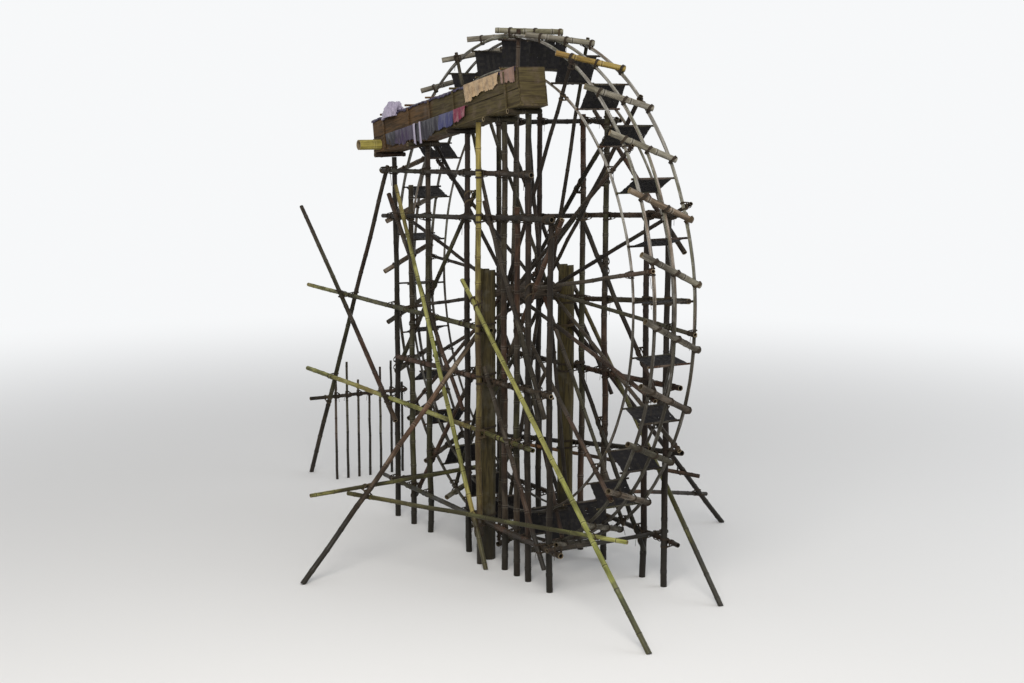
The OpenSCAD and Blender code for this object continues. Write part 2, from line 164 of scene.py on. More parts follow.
# Where the trough's boards pass from brown into olive
TROUGH_LOW, TROUGH_HIGH = (corner[1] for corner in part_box("trough_floor"))
TROUGH_TURN = TROUGH_LOW + 0.565 * (TROUGH_HIGH - TROUGH_LOW)


def share_of(name, description, default, low, high):
    """A setting that is a plain share."""
    return FloatProperty(name=name, description=description, default=default, min=low, max=high)


def length_of(name, description, default, low, high):
    """A setting in metres."""
    return FloatProperty(
        name=name, description=description, default=default, min=low, max=high, unit="LENGTH")


def colour_of(name, description, default):
    """A setting that is a colour."""
    return FloatVectorProperty(name=name, description=description, subtype="COLOR", default=default)


class CulmSizes(bpy.types.PropertyGroup):
    """Sizes that all the bamboo shares"""

    internode: length_of("Internode", "Distance between two nodes of a thick culm", 0.36, 0.1, 0.8)
    swelling: share_of("Swelling", "How far a node stands out, as a share of the radius", 0.11, 0.0, 0.3)
    taper: share_of("Taper", "Loss of radius from the root end to the tip, as a share", 0.16, 0.0, 0.4)
    bow: share_of("Bow", "Bow of a culm, as a share of its length", 0.0035, 0.0, 0.02)
    wall: share_of("Wall", "Wall of a culm, as a share of its radius", 0.2, 0.05, 0.5)
    sides: IntProperty(name="Sides", description="Faces round a culm", default=14, min=8, max=32)


class RopeSizes(bpy.types.PropertyGroup):
    """Sizes of the lashings"""

    radius: length_of("Radius", "Radius of the lashing cord", 0.0048, 0.002, 0.01)
    turns: IntProperty(
        name="Turns", description="Turns on each diagonal of a lashing", default=3, min=1, max=6)


class MatSizes(bpy.types.PropertyGroup):
    """Sizes of the woven paddles"""

    strip: length_of("Strip", "Width of a woven strip", 0.042, 0.02, 0.08)
    thickness: length_of("Thickness", "Thickness of a strip", 0.003, 0.001, 0.006)


class FinishColours(bpy.types.PropertyGroup):
    """Colours of the finishes"""

    weathered: colour_of("Weathered", "Old bamboo of the frame", (0.046, 0.032, 0.018))
    bleached: colour_of("Bleached", "Sun-bleached rims", (0.27, 0.255, 0.225))
    yellow: colour_of("Yellow", "Yellow bamboo", (0.33, 0.215, 0.045))
    green: colour_of("Green", "Fresh yellow-green bamboo", (0.31, 0.30, 0.075))
    tube: colour_of("Tube", "Bucket tubes", (0.25, 0.225, 0.175))
    timber: colour_of("Timber", "Forked posts", (0.070, 0.054, 0.020))
    board: colour_of("Board", "Trough boards", (0.125, 0.070, 0.030))
    matting: colour_of("Matting", "Woven paddles", (0.011, 0.010, 0.011))
    rope: colour_of("Rope", "Lashing cord", (0.030, 0.022, 0.015))
    plastic: colour_of("Plastic", "Sheet in the trough", (0.024, 0.016, 0.045))
    sack: colour_of("Sack", "Sack cloth over the trough", (0.47, 0.33, 0.19))


class StageSettings(bpy.types.PropertyGroup):
    """Floor, light and camera"""

    floor_colour: colour_of("Floor", "Colour of the floor", (0.80, 0.79, 0.775))
    fill: share_of("Fill", "Share of the picture that the wheel fills", 0.92, 0.3, 1.0)
    key_power: FloatProperty(
        name="Key light", description="Power of the main lamp, in watts", default=2100.0, min=0.0)
    fill_power: FloatProperty(
        name="Fill light", description="Power of the second lamp, in watts", default=750.0, min=0.0)
    camera_place: FloatVectorProperty(
        name="Camera", description="Place of the camera, from the hub's foot", subtype="XYZ",
        default=(-11.25, -18.9, 6.39), unit="LENGTH")


def sizes(name):
    """The scene's settings of that name."""
    return getattr(bpy.context.scene, name)


# Surfaces


def unit(v):
    """Vectors scaled to length one."""
    return v / np.maximum(np.linalg.norm(v, axis=-1, keepdims=True), 1e-12)


def across(direction):
    """Two directions square to the given ones and to each other, for whole arrays."""
    other = np.where(np.abs(direction[..., 2:3]) < 0.8, [0.0, 0.0, 1.0], [1.0, 0.0, 0.0])
    first = unit(np.cross(other, direction))
    return first, np.cross(direction, first)


def circle(count):
    """Even angles once round."""
    return np.linspace(0, TURN, count, endpoint=False)


def stacked(*parts):
    """Numbers spread to one shape and laid together on a last axis, as coordinates are."""
    return np.stack(np.broadcast_arrays(*parts), axis=-1)


def sweep(line, radius, angle, n, b):
    """A round section carried along a line: each row is centre + radius (cos a N + sin a B)."""
    ring = np.cos(angle)[:, None] * n[:, None] + np.sin(angle)[:, None] * b[:, None]
    return line[:, None] + np.asarray(radius)[..., None] * ring


def set_marks(mesh, culm, shade):
    """Keeps each point's place on its piece and its shade in the mesh, for the materials."""
    for name, values in (("culm", culm), ("shade", shade)):
        layer = mesh.attributes.get(name) or mesh.attributes.new(name, "FLOAT_VECTOR", "POINT")
        layer.data.foreach_set("vector", values.astype(np.float32).ravel())


class Skin:
    """Collects surfaces given as grids of points and makes one mesh of them.

    Each point keeps three marks for its material: culm, the place on the piece itself in metres
    with the length along z; and shade, which holds a tone, how freshly cut it is and the distance
    to the nearest node. A cut below nought marks the inside of a hollow end, where shade is painted in.
    """

    def __init__(self):
        self.points, self.culm, self.shade, self.loops, self.sizes = [], [], [], [], []
        self.count = 0

    def add_grid(self, points, closed, culm=None, tone=0.5, cut=0.0, knot=1.0, ends=(False, False),
                 kept=None):
        """A grid of rows and columns: column steps cross row steps to give the outer side.

        Tone, cut and knot are one value or a value to each row. Where kept is given, only those of
        its faces are made.
        """
        rows, cols = points.shape[:2]
        self.points.append(points.reshape(-1, 3))
        self.culm.append((points if culm is None else culm).reshape(-1, 3))
        shade = (np.broadcast_to(np.reshape(a, (-1, 1)), (rows, cols)) for a in (tone, cut, knot))
        self.shade.append(stacked(*shade).reshape(-1, 3))
        index = self.count + np.arange(rows * cols).reshape(rows, cols)
        self.count += rows * cols
        side = np.concatenate([index, index[:, :1]], axis=1) if closed else index
        quads = np.stack([side[:-1, :-1], side[:-1, 1:], side[1:, 1:], side[1:, :-1]], axis=-1)
        quads = quads if kept is None else quads[kept]
        caps = [index[0, ::-1]] * ends[0] + [index[-1]] * ends[1]
        self.loops += [quads.ravel(), *caps]
        self.sizes += [np.full(quads.size // 4, 4), np.full(len(caps), cols)]

    def make(self, name, material, body, slot, replaced=(), sharp=40.0):
        """Makes the object, smooth but for its sharp edges, and lets it ride on its body."""
        mesh = bpy.data.meshes.new(name)
        used, loops = np.unique(np.concatenate(self.loops), return_inverse=True)
        points = np.concatenate(self.points)[used]
        counts = np.concatenate(self.sizes)
        mesh.vertices.add(len(points))
        mesh.vertices.foreach_set("co", points.ravel())
        mesh.loops.add(len(loops))
        mesh.loops.foreach_set("vertex_index", loops.astype(np.int32))
        mesh.polygons.add(len(counts))
        starts = np.concatenate([[0], np.cumsum(counts)[:-1]])
        mesh.polygons.foreach_set("loop_start", starts.astype(np.int32))
        set_marks(mesh, np.concatenate(self.culm)[used], np.concatenate(self.shade)[used])
        mesh.update(calc_edges=True)
        mesh.validate()
        mesh.shade_smooth()
        mesh.set_sharp_from_angle(angle=math.radians(sharp))
        mesh.materials.append(material)
        piece = bpy.data.objects.new(name, mesh)
        bpy.context.scene.collection.objects.link(piece)
        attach(piece, body)
        if replaced:
            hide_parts(*replaced)
        return piece


def revolve(skin, line, axis, radius, sides, tone, cut, knot, along, offset, ends=(True, True),
            oval=0.0, turn=0.0, grounded=False):
    """Sweeps a round section along a line, square to the axis that the line follows.

    Rows may turn back inside a tube. A grounded piece is cut level with the floor: points below
    it slide up along the axis.
    """
    angle = turn + circle(sides)
    r = radius[:, None] * (1 + oval * np.cos(2 * angle))
    rows = sweep(line, r, angle, *across(unit(np.asarray(axis, float))[None]))
    if grounded:
        rows = rows + axis * (np.maximum(-rows[..., 2], 0) / axis[2])[..., None]
    mark = stacked(r * np.cos(angle) + offset[0], r * np.sin(angle) + offset[1], (along + offset[2])[:, None])
    skin.add_grid(rows, True, mark, tone, cut, knot, ends)


def culm_profile(length, radius, rng, taper=None, hollow=True):
    """Rows of a culm from end to end: place along it, radius, how cut, distance to a node.

    The radius falls evenly to the tip. Each node has a flare, a narrow groove and a ridge above
    it. An open end turns in over the wall to a septum inside, where shade is painted in: its cut
    mark of minus one darkens it to near-black.
    """
    s = sizes("culm_sizes")
    taper = s.taper if taper is None else taper
    gap = s.internode * (0.55 + 0.45 * min(radius / 0.04, 1.6))
    knots = np.arange(rng.uniform(0.3, 0.9) * gap, length - 0.12 * gap, gap)
    knots = knots + rng.uniform(-0.06, 0.06, len(knots)) * gap
    step = radius * np.array([-0.9, -0.32, -0.1, 0.06, 0.24, 0.75])
    lift = s.swelling * np.array([0.0, 0.62, 0.75, 0.12, 1.0, 0.0])
    z = (knots[:, None] + step).ravel()
    swell = np.tile(lift, len(knots))
    keep = (z > 0.004) & (z < length - 0.004)
    z, swell = np.concatenate([[0.0], z[keep], [length]]), np.concatenate([[0.0], swell[keep], [0.0]])
    order = np.argsort(z, kind="stable")
    z, swell = z[order], swell[order]
    r = radius * (1 + taper * (0.35 - z / length)) * (1 + swell)
    knot = np.min(np.abs(z[:, None] - knots), axis=1) if len(knots) else np.ones_like(z)
    rows = np.stack([z, r, np.zeros_like(z), knot])
    if hollow:
        rows = np.hstack([mouth(0.0, SEPTUM_DEPTH, r[0], s.wall), rows,
                          mouth(length, -SEPTUM_DEPTH, r[-1], s.wall)[:, ::-1]])
    return rows


def mouth(z, inwards, radius, wall):
    """Rows of a culm's open end, from its septum out to its rim."""
    inner = radius * (1 - wall)
    # The septum's cut of minus one asks for painted shade, so the wall inside grows darker towards it
    return np.array([[z + inwards, z, z], [inner * 0.97, inner, radius * 0.995], [-1.0, 1.0, 1.0], [1.0] * 3])


def add_culm(skin, start, end, radius, rng, bow=None, grounded=False, sides=None, shades=None):
    """A bamboo culm between two points, slightly bowed, with a small kink at each ring."""
    s = sizes("culm_sizes")
    length = np.linalg.norm(end - start)
    direction = (end - start) / length
    if rng.random() < 0.5 and not grounded:
        start, direction = end, -direction
        shades = shades[::-1] if shades else None
    z, r, cut, knot = culm_profile(length, radius, rng)
    n, b = across(direction[None])
    way = rng.uniform(0, TURN)
    lean = math.cos(way) * n + math.sin(way) * b
    bow = s.bow if bow is None else bow
    share = np.clip(z / length, 0, 1)
    arc = bow * length * rng.uniform(0.3, 1.0) * np.sin(np.pi * share)
    kinks = enumerate(rng.normal(0, 0.035, 8), 2)
    wave = radius * sum(kink * np.sin(k * np.pi * share) for k, kink in kinks)
    line = start + direction * z[:, None] + lean * arc[:, None] + (n + b) * wave[:, None]
    tone = rng.uniform(0, 1)
    if shades:
        tone = np.interp(share, np.linspace(0, 1, len(shades)), shades) + 0.12 * (tone - 0.5)
    revolve(skin, line, direction, r, sides or s.sides, tone, cut, knot, z, rng.uniform(0, 40, 3),
            oval=rng.uniform(0, 0.04), turn=rng.uniform(0, 6.28), grounded=grounded)


def add_loop(skin, points, radius, sides, tone, offset):
    """A closed round cord through a ring of points; its section faces away from the middle."""
    direction = unit(np.roll(points, -1, axis=0) - np.roll(points, 1, axis=0))
    away = points - points.mean(0)
    n = unit(away - np.sum(away * direction, axis=1)[:, None] * direction)
    angle = circle(sides)
    rows = sweep(points, radius, angle, n, np.cross(direction, n))
    rows = np.concatenate([rows, rows[:1]])
    along = np.cumsum(np.linalg.norm(np.diff(rows[:, 0], axis=0, prepend=rows[:1, 0]), axis=1))
    mark = stacked(radius * np.cos(angle), radius * np.sin(angle), along[:, None] + offset)
    skin.add_grid(rows, True, mark, tone)


def add_cord(skin, points, radius, sides, tone, offset):
    """An open round cord through a run of points, closed at its ends."""
    rows = sweep(points, radius, circle(sides), *across(unit(np.gradient(points, axis=0))))
    skin.add_grid(rows, True, rows + offset, tone, ends=(True, True))


def square_turns(reach_a, reach_b, r_a, r_b, cord, turns):
    """Turns of a square lashing, as rings of (along a, along b, lift).

    Each turn goes over pole b on both sides of pole a, and under pole a on both sides of pole b.
    The turns lie side by side, close to the poles. Two more turns go round them at the corners.
    """
    half = np.linspace(0, np.pi, 7)
    c, s = np.cos(half), np.sin(half)
    near_u, near_v = reach_b + cord, reach_a + cord
    over, under = r_b + (r_b + cord) * s, -r_a - (r_a + cord) * s
    for k in range(turns):
        u, v = near_u + CORD_STEP * cord * k, near_v + CORD_STEP * cord * k
        yield np.concatenate([
            stacked(near_u * c, v, over), stacked(-u, near_v * c, under),
            stacked(-near_u * c, -v, over), stacked(u, -near_v * c, under)])
    u, v = (np.sign(f) * np.abs(f) ** 0.4 for f in (np.cos(circle(20)), np.sin(circle(20))))
    out = cord * (0.95 * turns + 0.9)
    for lift in (-0.95 * cord, 0.95 * cord):
        yield stacked((reach_b + out) * u, (reach_a + out) * v, (r_b - r_a) * 0.3 + lift)


def round_turns(r_a, r_b, cord, turns, skew=1.0, pad=0.0):
    """Turns of a round lashing, as rings of (sideways, forward, lift) round two poles.

    A ring that crosses the poles aslant has arcs wider than they are by one over skew.
    """
    half = np.linspace(0, np.pi, 8)
    upper, lower = r_b + cord + pad, r_a + cord + pad
    flat = np.concatenate([
        stacked(upper / skew * np.cos(half), r_b + upper * np.sin(half)),
        stacked(-lower / skew * np.cos(half), -r_a - lower * np.sin(half))])
    slant = 0.3 * cord * np.sin(circle(len(flat)))
    for k in range(turns + 2):
        side = (k - (turns + 1) / 2) * CORD_STEP * cord + slant
        yield np.stack([flat[:, 0], side, flat[:, 1]], axis=1)


def add_lashing(skin, place, dir_a, dir_b, lift, r_a, r_b, rng, turns=None, short=False):
    """Ties two poles: place is where they touch, lift points from pole a to pole b.

    Poles that cross get a square lashing, and diagonal turns where one of them ends short.
    """
    rope = sizes("rope_sizes")
    turns = turns or rope.turns
    cord = rope.radius * rng.uniform(0.85, 1.1)
    dir_a, dir_b, lift = unit(dir_a), unit(dir_b), unit(lift)
    if np.dot(dir_a, dir_b) < 0:
        dir_b = -dir_b
    sine = np.linalg.norm(np.cross(dir_a, dir_b))
    sets = []
    if sine > SQUARE_FROM and not short:
        rings = square_turns(r_a / sine, r_b / sine, r_a, r_b, cord, turns)
        sets.append((rings, np.stack([dir_a, dir_b, lift])))
    else:
        ways = [dir_a + dir_b, dir_a - dir_b] if sine > CROSSED_FROM else [dir_a + dir_b]
        for layer, forward in enumerate(unit(way) for way in ways):
            rings = round_turns(r_a, r_b, cord, turns, abs(forward @ dir_a), layer * 1.7 * cord)
            sets.append((rings, np.stack([np.cross(forward, lift), forward, lift])))
    tone = rng.uniform(0, 1)
    for rings, basis in sets:
        for ring in rings:
            add_loop(skin, place + ring @ basis, cord, 5, tone, rng.uniform(0, 9))
    if rng.random() < TAILED:
        t = np.linspace(0, 1, 6)[:, None]
        out = unit(np.cross(dir_b, lift)) * rng.choice([-1, 1])
        start = place + lift * r_b + out * (r_b + cord)
        length = rng.uniform(0.05, 0.15)
        bend = out + unit(rng.normal(0, 1, 3)) * 0.5
        fall = np.array([0, 0, -1.0]) * t ** 2 * length
        add_cord(skin, start + bend * t * length * 0.4 + fall, cord * 0.75, 4, tone, rng.uniform(0, 9))


# Reading the frame


def corners_of(node):
    """Lowest and highest corner of a node."""
    return (np.array(corner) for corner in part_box(node))


def points_of(mesh):
    """The places of a mesh's points."""
    points = np.empty(len(mesh.vertices) * 3)
    mesh.vertices.foreach_get("co", points)
    return points.reshape(-1, 3)


def solids(node):
    """Splits a CAD node into its separate solids: corner points and triangles of each."""
    mesh = frame["nodes"][node].data
    mesh.calc_loop_triangles()
    tris = np.empty(len(mesh.loop_triangles) * 3, np.int32)
    mesh.loop_triangles.foreach_get("vertices", tris)
    points, inverse = np.unique(np.round(points_of(mesh), 5), axis=0, return_inverse=True)
    tris = inverse.ravel()[tris].reshape(-1, 3)
    label, lower = None, np.arange(len(points))
    while not np.array_equal(lower, label):
        label = lower.copy()
        np.minimum.at(lower, tris.ravel(), np.repeat(label[tris].min(1), 3))
        lower = lower[lower]
    groups = label[tris[:, 0]]
    return [(points, tris[groups == one]) for one in np.unique(groups)]


def pole_of(points, tris):
    """Axis ends and radius of a round bar, from the faces whose normals are square to its axis.

    The axis is the direction in which those normals spread least, found twice; the circle through
    their corners, seen along it, gives the middle and the radius. A foot reaches to the floor.
    """
    a, b, c = (points[tris[:, k]] for k in range(3))
    normal = np.cross(b - a, c - a)
    area = np.linalg.norm(normal, axis=1)
    good = area > 1e-10
    normal, area, tris = normal[good] / area[good, None], area[good], tris[good]
    side = np.ones(len(area), bool)
    for _ in range(2):
        spread = (normal[side] * area[side, None]).T @ normal[side]
        axis = np.linalg.eigh(spread)[1][:, 0]
        side = np.abs(normal @ axis) < 0.15
    rim = points[np.unique(tris[side])]
    n, b = (v[0] for v in across(axis[None]))
    flat = np.stack([rim @ n, rim @ b], axis=1)
    fit = np.linalg.lstsq(np.column_stack([2 * flat, np.ones(len(flat))]), (flat ** 2).sum(1), rcond=None)[0]
    centre = fit[0] * n + fit[1] * b
    run = rim @ axis
    low, high = centre + axis * run.min(), centre + axis * run.max()
    if low[2] > high[2]:
        low, high, axis = high, low, -axis
    if low[2] < 0.06 and abs(axis[2]) < 0.999:
        low = low - axis * (low[2] / axis[2])
    return low, high, math.sqrt(fit[2] + fit[0] ** 2 + fit[1] ** 2)


def poles_of(node):
    """All round bars of a node, as (low end, high end, radius); a level one starts upstream."""
    bars = [pole_of(*solid) for solid in solids(node)]
    level = [abs(high[2] - low[2]) < 0.2 * abs(high[1] - low[1]) for low, high, _ in bars]
    return [(high, low, radius) if flat and high[1] > low[1] else (low, high, radius)
            for flat, (low, high, radius) in zip(level, bars)]


def post_of(node):
    """Foot, top and radius of an upright post, from its box."""
    low, high = corners_of(node)
    centre = (low + high) / 2
    return np.array([*centre[:2], 0.0]), np.array([*centre[:2], high[2]]), (high[0] - low[0]) / 2


def closest(p, q):
    """Nearest points of two segments, and the distance between them."""
    u, v, w = p[1] - p[0], q[1] - q[0], p[0] - q[0]
    a, b, c, d, e = u @ u, u @ v, v @ v, u @ w, v @ w
    den = a * c - b * b
    s = np.clip((b * e - c * d) / den, 0, 1) if den > 1e-9 else 0.5
    t = np.clip((b * s + e) / c, 0, 1)
    s = np.clip((b * t - d) / a, 0, 1)
    x, y = p[0] + u * s, q[0] + v * t
    return x, y, np.linalg.norm(x - y)


def spare(pole, point):
    """How far a point on a pole lies from the pole's nearer end."""
    return min(np.linalg.norm(point - pole[0]), np.linalg.norm(point - pole[1]))


# Materials


class Graph:
    """Short ways to add and link shader nodes."""

    def __init__(self, tree):
        self.tree = tree
        tree.nodes.clear()

    def add(self, kind, links=None, **values):
        """A node with its settings; an input is linked to a socket or given a value."""
        node = self.tree.nodes.new(kind)
        for key, value in values.items():
            setattr(node, key, value)
        for key, value in (links or {}).items():
            if isinstance(value, bpy.types.NodeSocket):
                self.tree.links.new(value, node.inputs[key])
            else:
                node.inputs[key].default_value = value
        return node

    def noise(self, vector, scale, detail=3.0, rough=0.55, distortion=0.0, stretch=None):
        """A noise value; stretch gives each direction its own scale."""
        if stretch:
            scaled = self.add("ShaderNodeVectorMath", {0: vector, 1: stretch}, operation="MULTIPLY")
            vector = scaled.outputs[0]
        return self.add("ShaderNodeTexNoise", {
            "Vector": vector, "Scale": scale, "Detail": detail, "Roughness": rough,
            "Distortion": distortion}).outputs["Fac"]

    def ramp(self, value, low, high, to_low=0.0, to_high=1.0):
        """A smooth step from one value to another while the input goes from low to high."""
        return self.add("ShaderNodeMapRange", {
            "Value": value, "From Min": low, "From Max": high, "To Min": to_low, "To Max": to_high},
            interpolation_type="SMOOTHSTEP").outputs["Result"]

    def math(self, kind, a, b=0.0):
        """A sum, product or other operation on two values."""
        return self.add("ShaderNodeMath", {0: a, 1: b}, operation=kind).outputs[0]

    def mix(self, share, a, b):
        """Colour a, with that share of colour b."""
        ends = [v if isinstance(v, bpy.types.NodeSocket) else (*v[:3], 1.0) for v in (a, b)]
        return self.add("ShaderNodeMix", {0: share, 6: ends[0], 7: ends[1]}, data_type="RGBA").outputs[2]

    def place(self):
        """The point's place on the object."""
        return self.add("ShaderNodeTexCoord").outputs["Object"]

    def part(self, vector, k):
        """One coordinate of a vector."""
        return self.add("ShaderNodeSeparateXYZ", {0: vector}).outputs[k]

    def mark(self, name):
        """One of the marks that set_marks keeps in the mesh."""
        return self.add("ShaderNodeAttribute", attribute_name=name).outputs["Vector"]

    def wetness(self, place, water, most):
        """How wet a place is: the water's level wanders, and its edge is soft."""
        high = self.part(place, 2)
        level = self.math("ADD", water, self.ramp(self.noise(place, 2.5), 0.3, 0.7, 0.05, 0.45))
        return self.ramp(self.math("SUBTRACT", high, level), 0.12, -0.10, 0.0, most)


def marks(g):
    """The piece's own place and its tone, cut and node distance, as sockets."""
    return g.mark("culm"), *g.add("ShaderNodeSeparateXYZ", {0: g.mark("shade")}).outputs


def culm_group():
    """Bamboo skin: long streaks, weather stains, dark node scars, pale fresh cuts and painted shade inside open
    ends.
    """
    tree = bpy.data.node_groups.new("Bamboo skin", "ShaderNodeTree")
    for way, kind, names in (
            ("INPUT", "NodeSocketColor", ("Colour", "Olive", "Red", "Stain", "Bleach")),
            ("INPUT", "NodeSocketFloat", ("Ageing", "Stain amount", "Bleach amount", "Wet height")),
            ("OUTPUT", "NodeSocketColor", ("Colour",)),
            ("OUTPUT", "NodeSocketFloat", ("Roughness", "Height"))):
        for name in names:
            tree.interface.new_socket(name, in_out=way, socket_type=kind)
    g = Graph(tree)
    source = g.add("NodeGroupInput").outputs
    culm, tone, cut, knot = marks(g)
    place = g.place()
    streak = g.noise(culm, 1.0, 4.0, 0.6, stretch=(55.0, 55.0, 2.2))
    fibre = g.noise(culm, 1.0, 2.0, stretch=(260.0, 260.0, 7.0))
    blotch = g.noise(culm, 1.0, 5.0, 0.62, 0.4, stretch=(9.0, 9.0, 3.0))
    speck = g.noise(culm, 90.0, 3.0, 0.7)
    lot = g.noise(culm, 1.0, 2.0, stretch=(0.35, 0.35, 0.3))
    patchy = g.math("ADD", tone, g.ramp(blotch, 0.35, 0.65, -0.18, 0.18))
    clean = g.ramp(patchy, 0.85, 0.1, 0.12, 1.0)
    # Hue, age, streaks and stains
    base = g.mix(g.ramp(lot, 0.48, 0.38, 0.0, 0.9), source["Colour"], source["Olive"])
    base = g.mix(g.ramp(lot, 0.52, 0.62, 0.0, 0.9), base, source["Red"])
    base = g.mix(g.ramp(patchy, 0.0, 1.0, 0.0, source["Ageing"]), base, source["Stain"])
    base = g.mix(g.ramp(streak, 0.35, 0.68, 0.0, 0.55), base, source["Stain"])
    share = g.math("MULTIPLY", g.ramp(blotch, 0.44, 0.66), source["Stain amount"])
    base = g.mix(share, base, source["Stain"])
    # Bleached patches, specks, and the scar and bloom of a node
    sun = g.math("MULTIPLY", g.ramp(blotch, 0.52, 0.30), g.math("MULTIPLY", source["Bleach amount"], clean))
    base = g.mix(g.math("MULTIPLY", sun, g.ramp(streak, 0.3, 0.6, 0.4, 1.0)), base, source["Bleach"])
    base = g.mix(g.ramp(speck, 0.62, 0.74, 0.0, 0.45), base, source["Stain"])
    base = g.mix(g.ramp(knot, 0.007, 0.002, 0.0, 0.85), base, source["Stain"])
    bloom = g.math("MULTIPLY", g.ramp(knot, 0.03, 0.012), g.ramp(knot, 0.008, 0.012, 0.0, 0.4))
    base = g.mix(g.math("MULTIPLY", bloom, clean), base, source["Bleach"])
    # Cut ends, painted shade inside open ends, and the wet foot
    fresh = g.mix(g.ramp(streak, 0.3, 0.7, 0.0, 0.5), (0.27, 0.21, 0.125), (0.15, 0.11, 0.06))
    fresh = g.mix(g.ramp(tone, 0.0, 1.0, 0.0, 0.75), fresh, source["Stain"])
    base = g.mix(g.ramp(cut, 0.4, 0.9), base, fresh)
    # Painted shade: below nought, the cut mark darkens the inside of an open end to near-black
    base = g.mix(g.ramp(cut, -0.1, -0.9), base, (0.012, 0.010, 0.008))
    wet = g.wetness(place, source["Wet height"], 0.8)
    base = g.mix(wet, base, SOAKED)
    rough = g.math("SUBTRACT", g.ramp(blotch, 0.3, 0.7, 0.48, 0.78), g.math("MULTIPLY", wet, 0.22))
    height = g.math("ADD", g.math("MULTIPLY", streak, 0.5), g.math("MULTIPLY", fibre, 0.35))
    height = g.math("ADD", height, g.math("MULTIPLY", speck, 0.3))
    g.add("NodeGroupOutput", {"Colour": base, "Roughness": rough, "Height": height})
    return tree


def finish_material(name, build, bump=0.5, distance=0.002, gloss=0.2, sheen=0.0):
    """A material whose colour, roughness and height come from build, with a Bump node."""
    material = bpy.data.materials.new(name)
    material.use_nodes = True
    g = Graph(material.node_tree)
    colour, rough, height = build(g)
    relief = g.add("ShaderNodeBump", {"Strength": bump, "Distance": distance, "Height": height})
    shader = g.add("ShaderNodeBsdfPrincipled", {
        "Base Color": colour, "Roughness": rough, "Normal": relief.outputs[0],
        "Specular IOR Level": gloss, "Sheen Weight": sheen})
    g.add("ShaderNodeOutputMaterial", {"Surface": shader.outputs[0]})
    return material


def bamboo(name, colour, olive, red, stain, bleach, ageing, stained, bleached, water=WATER_LEVEL, gloss=0.2):
    """A bamboo finish: the shared skin with its own colours."""
    tree = bpy.data.node_groups.get("Bamboo skin") or culm_group()
    shades = [(*shade, 1.0) for shade in (colour, olive, red, stain, bleach)]

    def build(g):
        skin = g.add("ShaderNodeGroup", node_tree=tree)
        for item, value in zip(skin.inputs, (*shades, ageing, stained, bleached, water)):
            item.default_value = value
        return skin.outputs

    return finish_material(name, build, 0.4, gloss=gloss)


def timber(name, colour, dark, bump=0.4, distance=0.002, water=WATER_LEVEL, other=None):
    """Rough timber: long grain, checks and stains along the piece's own length.

    Downstream of the trough's turn it passes into another colour.
    """

    def build(g):
        culm, tone, cut, _ = marks(g)
        place = g.place()
        grain = g.noise(culm, 1.0, 6.0, 0.65, 0.6, stretch=(38.0, 38.0, 2.5))
        fine = g.noise(culm, 1.0, 3.0, stretch=(150.0, 150.0, 9.0))
        blotch = g.noise(culm, 4.0, 4.0, 0.6)
        base = colour
        if other:
            base = g.mix(g.ramp(g.part(place, 1), TROUGH_TURN + 0.08, TROUGH_TURN - 0.08), base, other)
        base = g.mix(g.ramp(tone, 0, 1, 0.0, 0.35), base, dark)
        base = g.mix(g.ramp(grain, 0.40, 0.62, 0.0, 0.8), base, dark)
        base = g.mix(g.ramp(blotch, 0.5, 0.7, 0.0, 0.5), base, [0.6 * v + 0.05 for v in colour])
        base = g.mix(g.ramp(cut, 0.4, 0.9, 0.0, 0.8), base, [min(1.7 * v, 0.6) for v in colour])
        wet = g.wetness(place, water, 0.75)
        rough = g.math("SUBTRACT", g.ramp(fine, 0.3, 0.7, 0.66, 0.88), g.math("MULTIPLY", wet, 0.25))
        return g.mix(wet, base, SOAKED), rough, g.math("ADD", grain, g.math("MULTIPLY", fine, 0.4))

    return finish_material(name, build, bump, distance)


def rope_material(name, colour):
    """Black palm fibre cord: twisted strands as slanting ridges along the cord."""

    def build(g):
        culm, tone, _, _ = marks(g)
        strands = g.add("ShaderNodeTexWave", {"Vector": culm, "Scale": 90.0, "Distortion": 3.0},
                        wave_type="BANDS", bands_direction="DIAGONAL").outputs["Fac"]
        hair = g.noise(culm, 400.0, 2.0)
        base = g.mix(g.ramp(hair, 0.45, 0.7, 0.0, 0.7), colour, [min(2.6 * v, 1.0) for v in colour])
        base = g.mix(g.ramp(tone, 0.8, 1.0, 0.0, 0.7), base, (0.10, 0.072, 0.04))
        return base, g.ramp(hair, 0.3, 0.7, 0.75, 0.95), g.math("ADD", strands, hair)

    return finish_material(name, build, distance=0.001)


def mat_material(name, colour, worn):
    """Soaked woven strips: dark, with paler worn edges and long fibres."""

    def build(g):
        culm, tone, _, _ = marks(g)
        fibre = g.noise(culm, 1.0, 3.0, stretch=(160.0, 160.0, 8.0))
        blotch = g.noise(culm, 7.0, 4.0, 0.6)
        base = g.mix(g.ramp(tone, 0.5, 1.0, 0.0, 0.6), colour, worn)
        base = g.mix(g.ramp(fibre, 0.5, 0.75, 0.0, 0.6), base, worn)
        base = g.mix(g.ramp(blotch, 0.56, 0.72, 0.0, 0.5), base, (0.018, 0.018, 0.010))
        return base, g.ramp(blotch, 0.3, 0.7, 0.55, 0.8), fibre

    return finish_material(name, build, distance=0.0015, gloss=0.12)


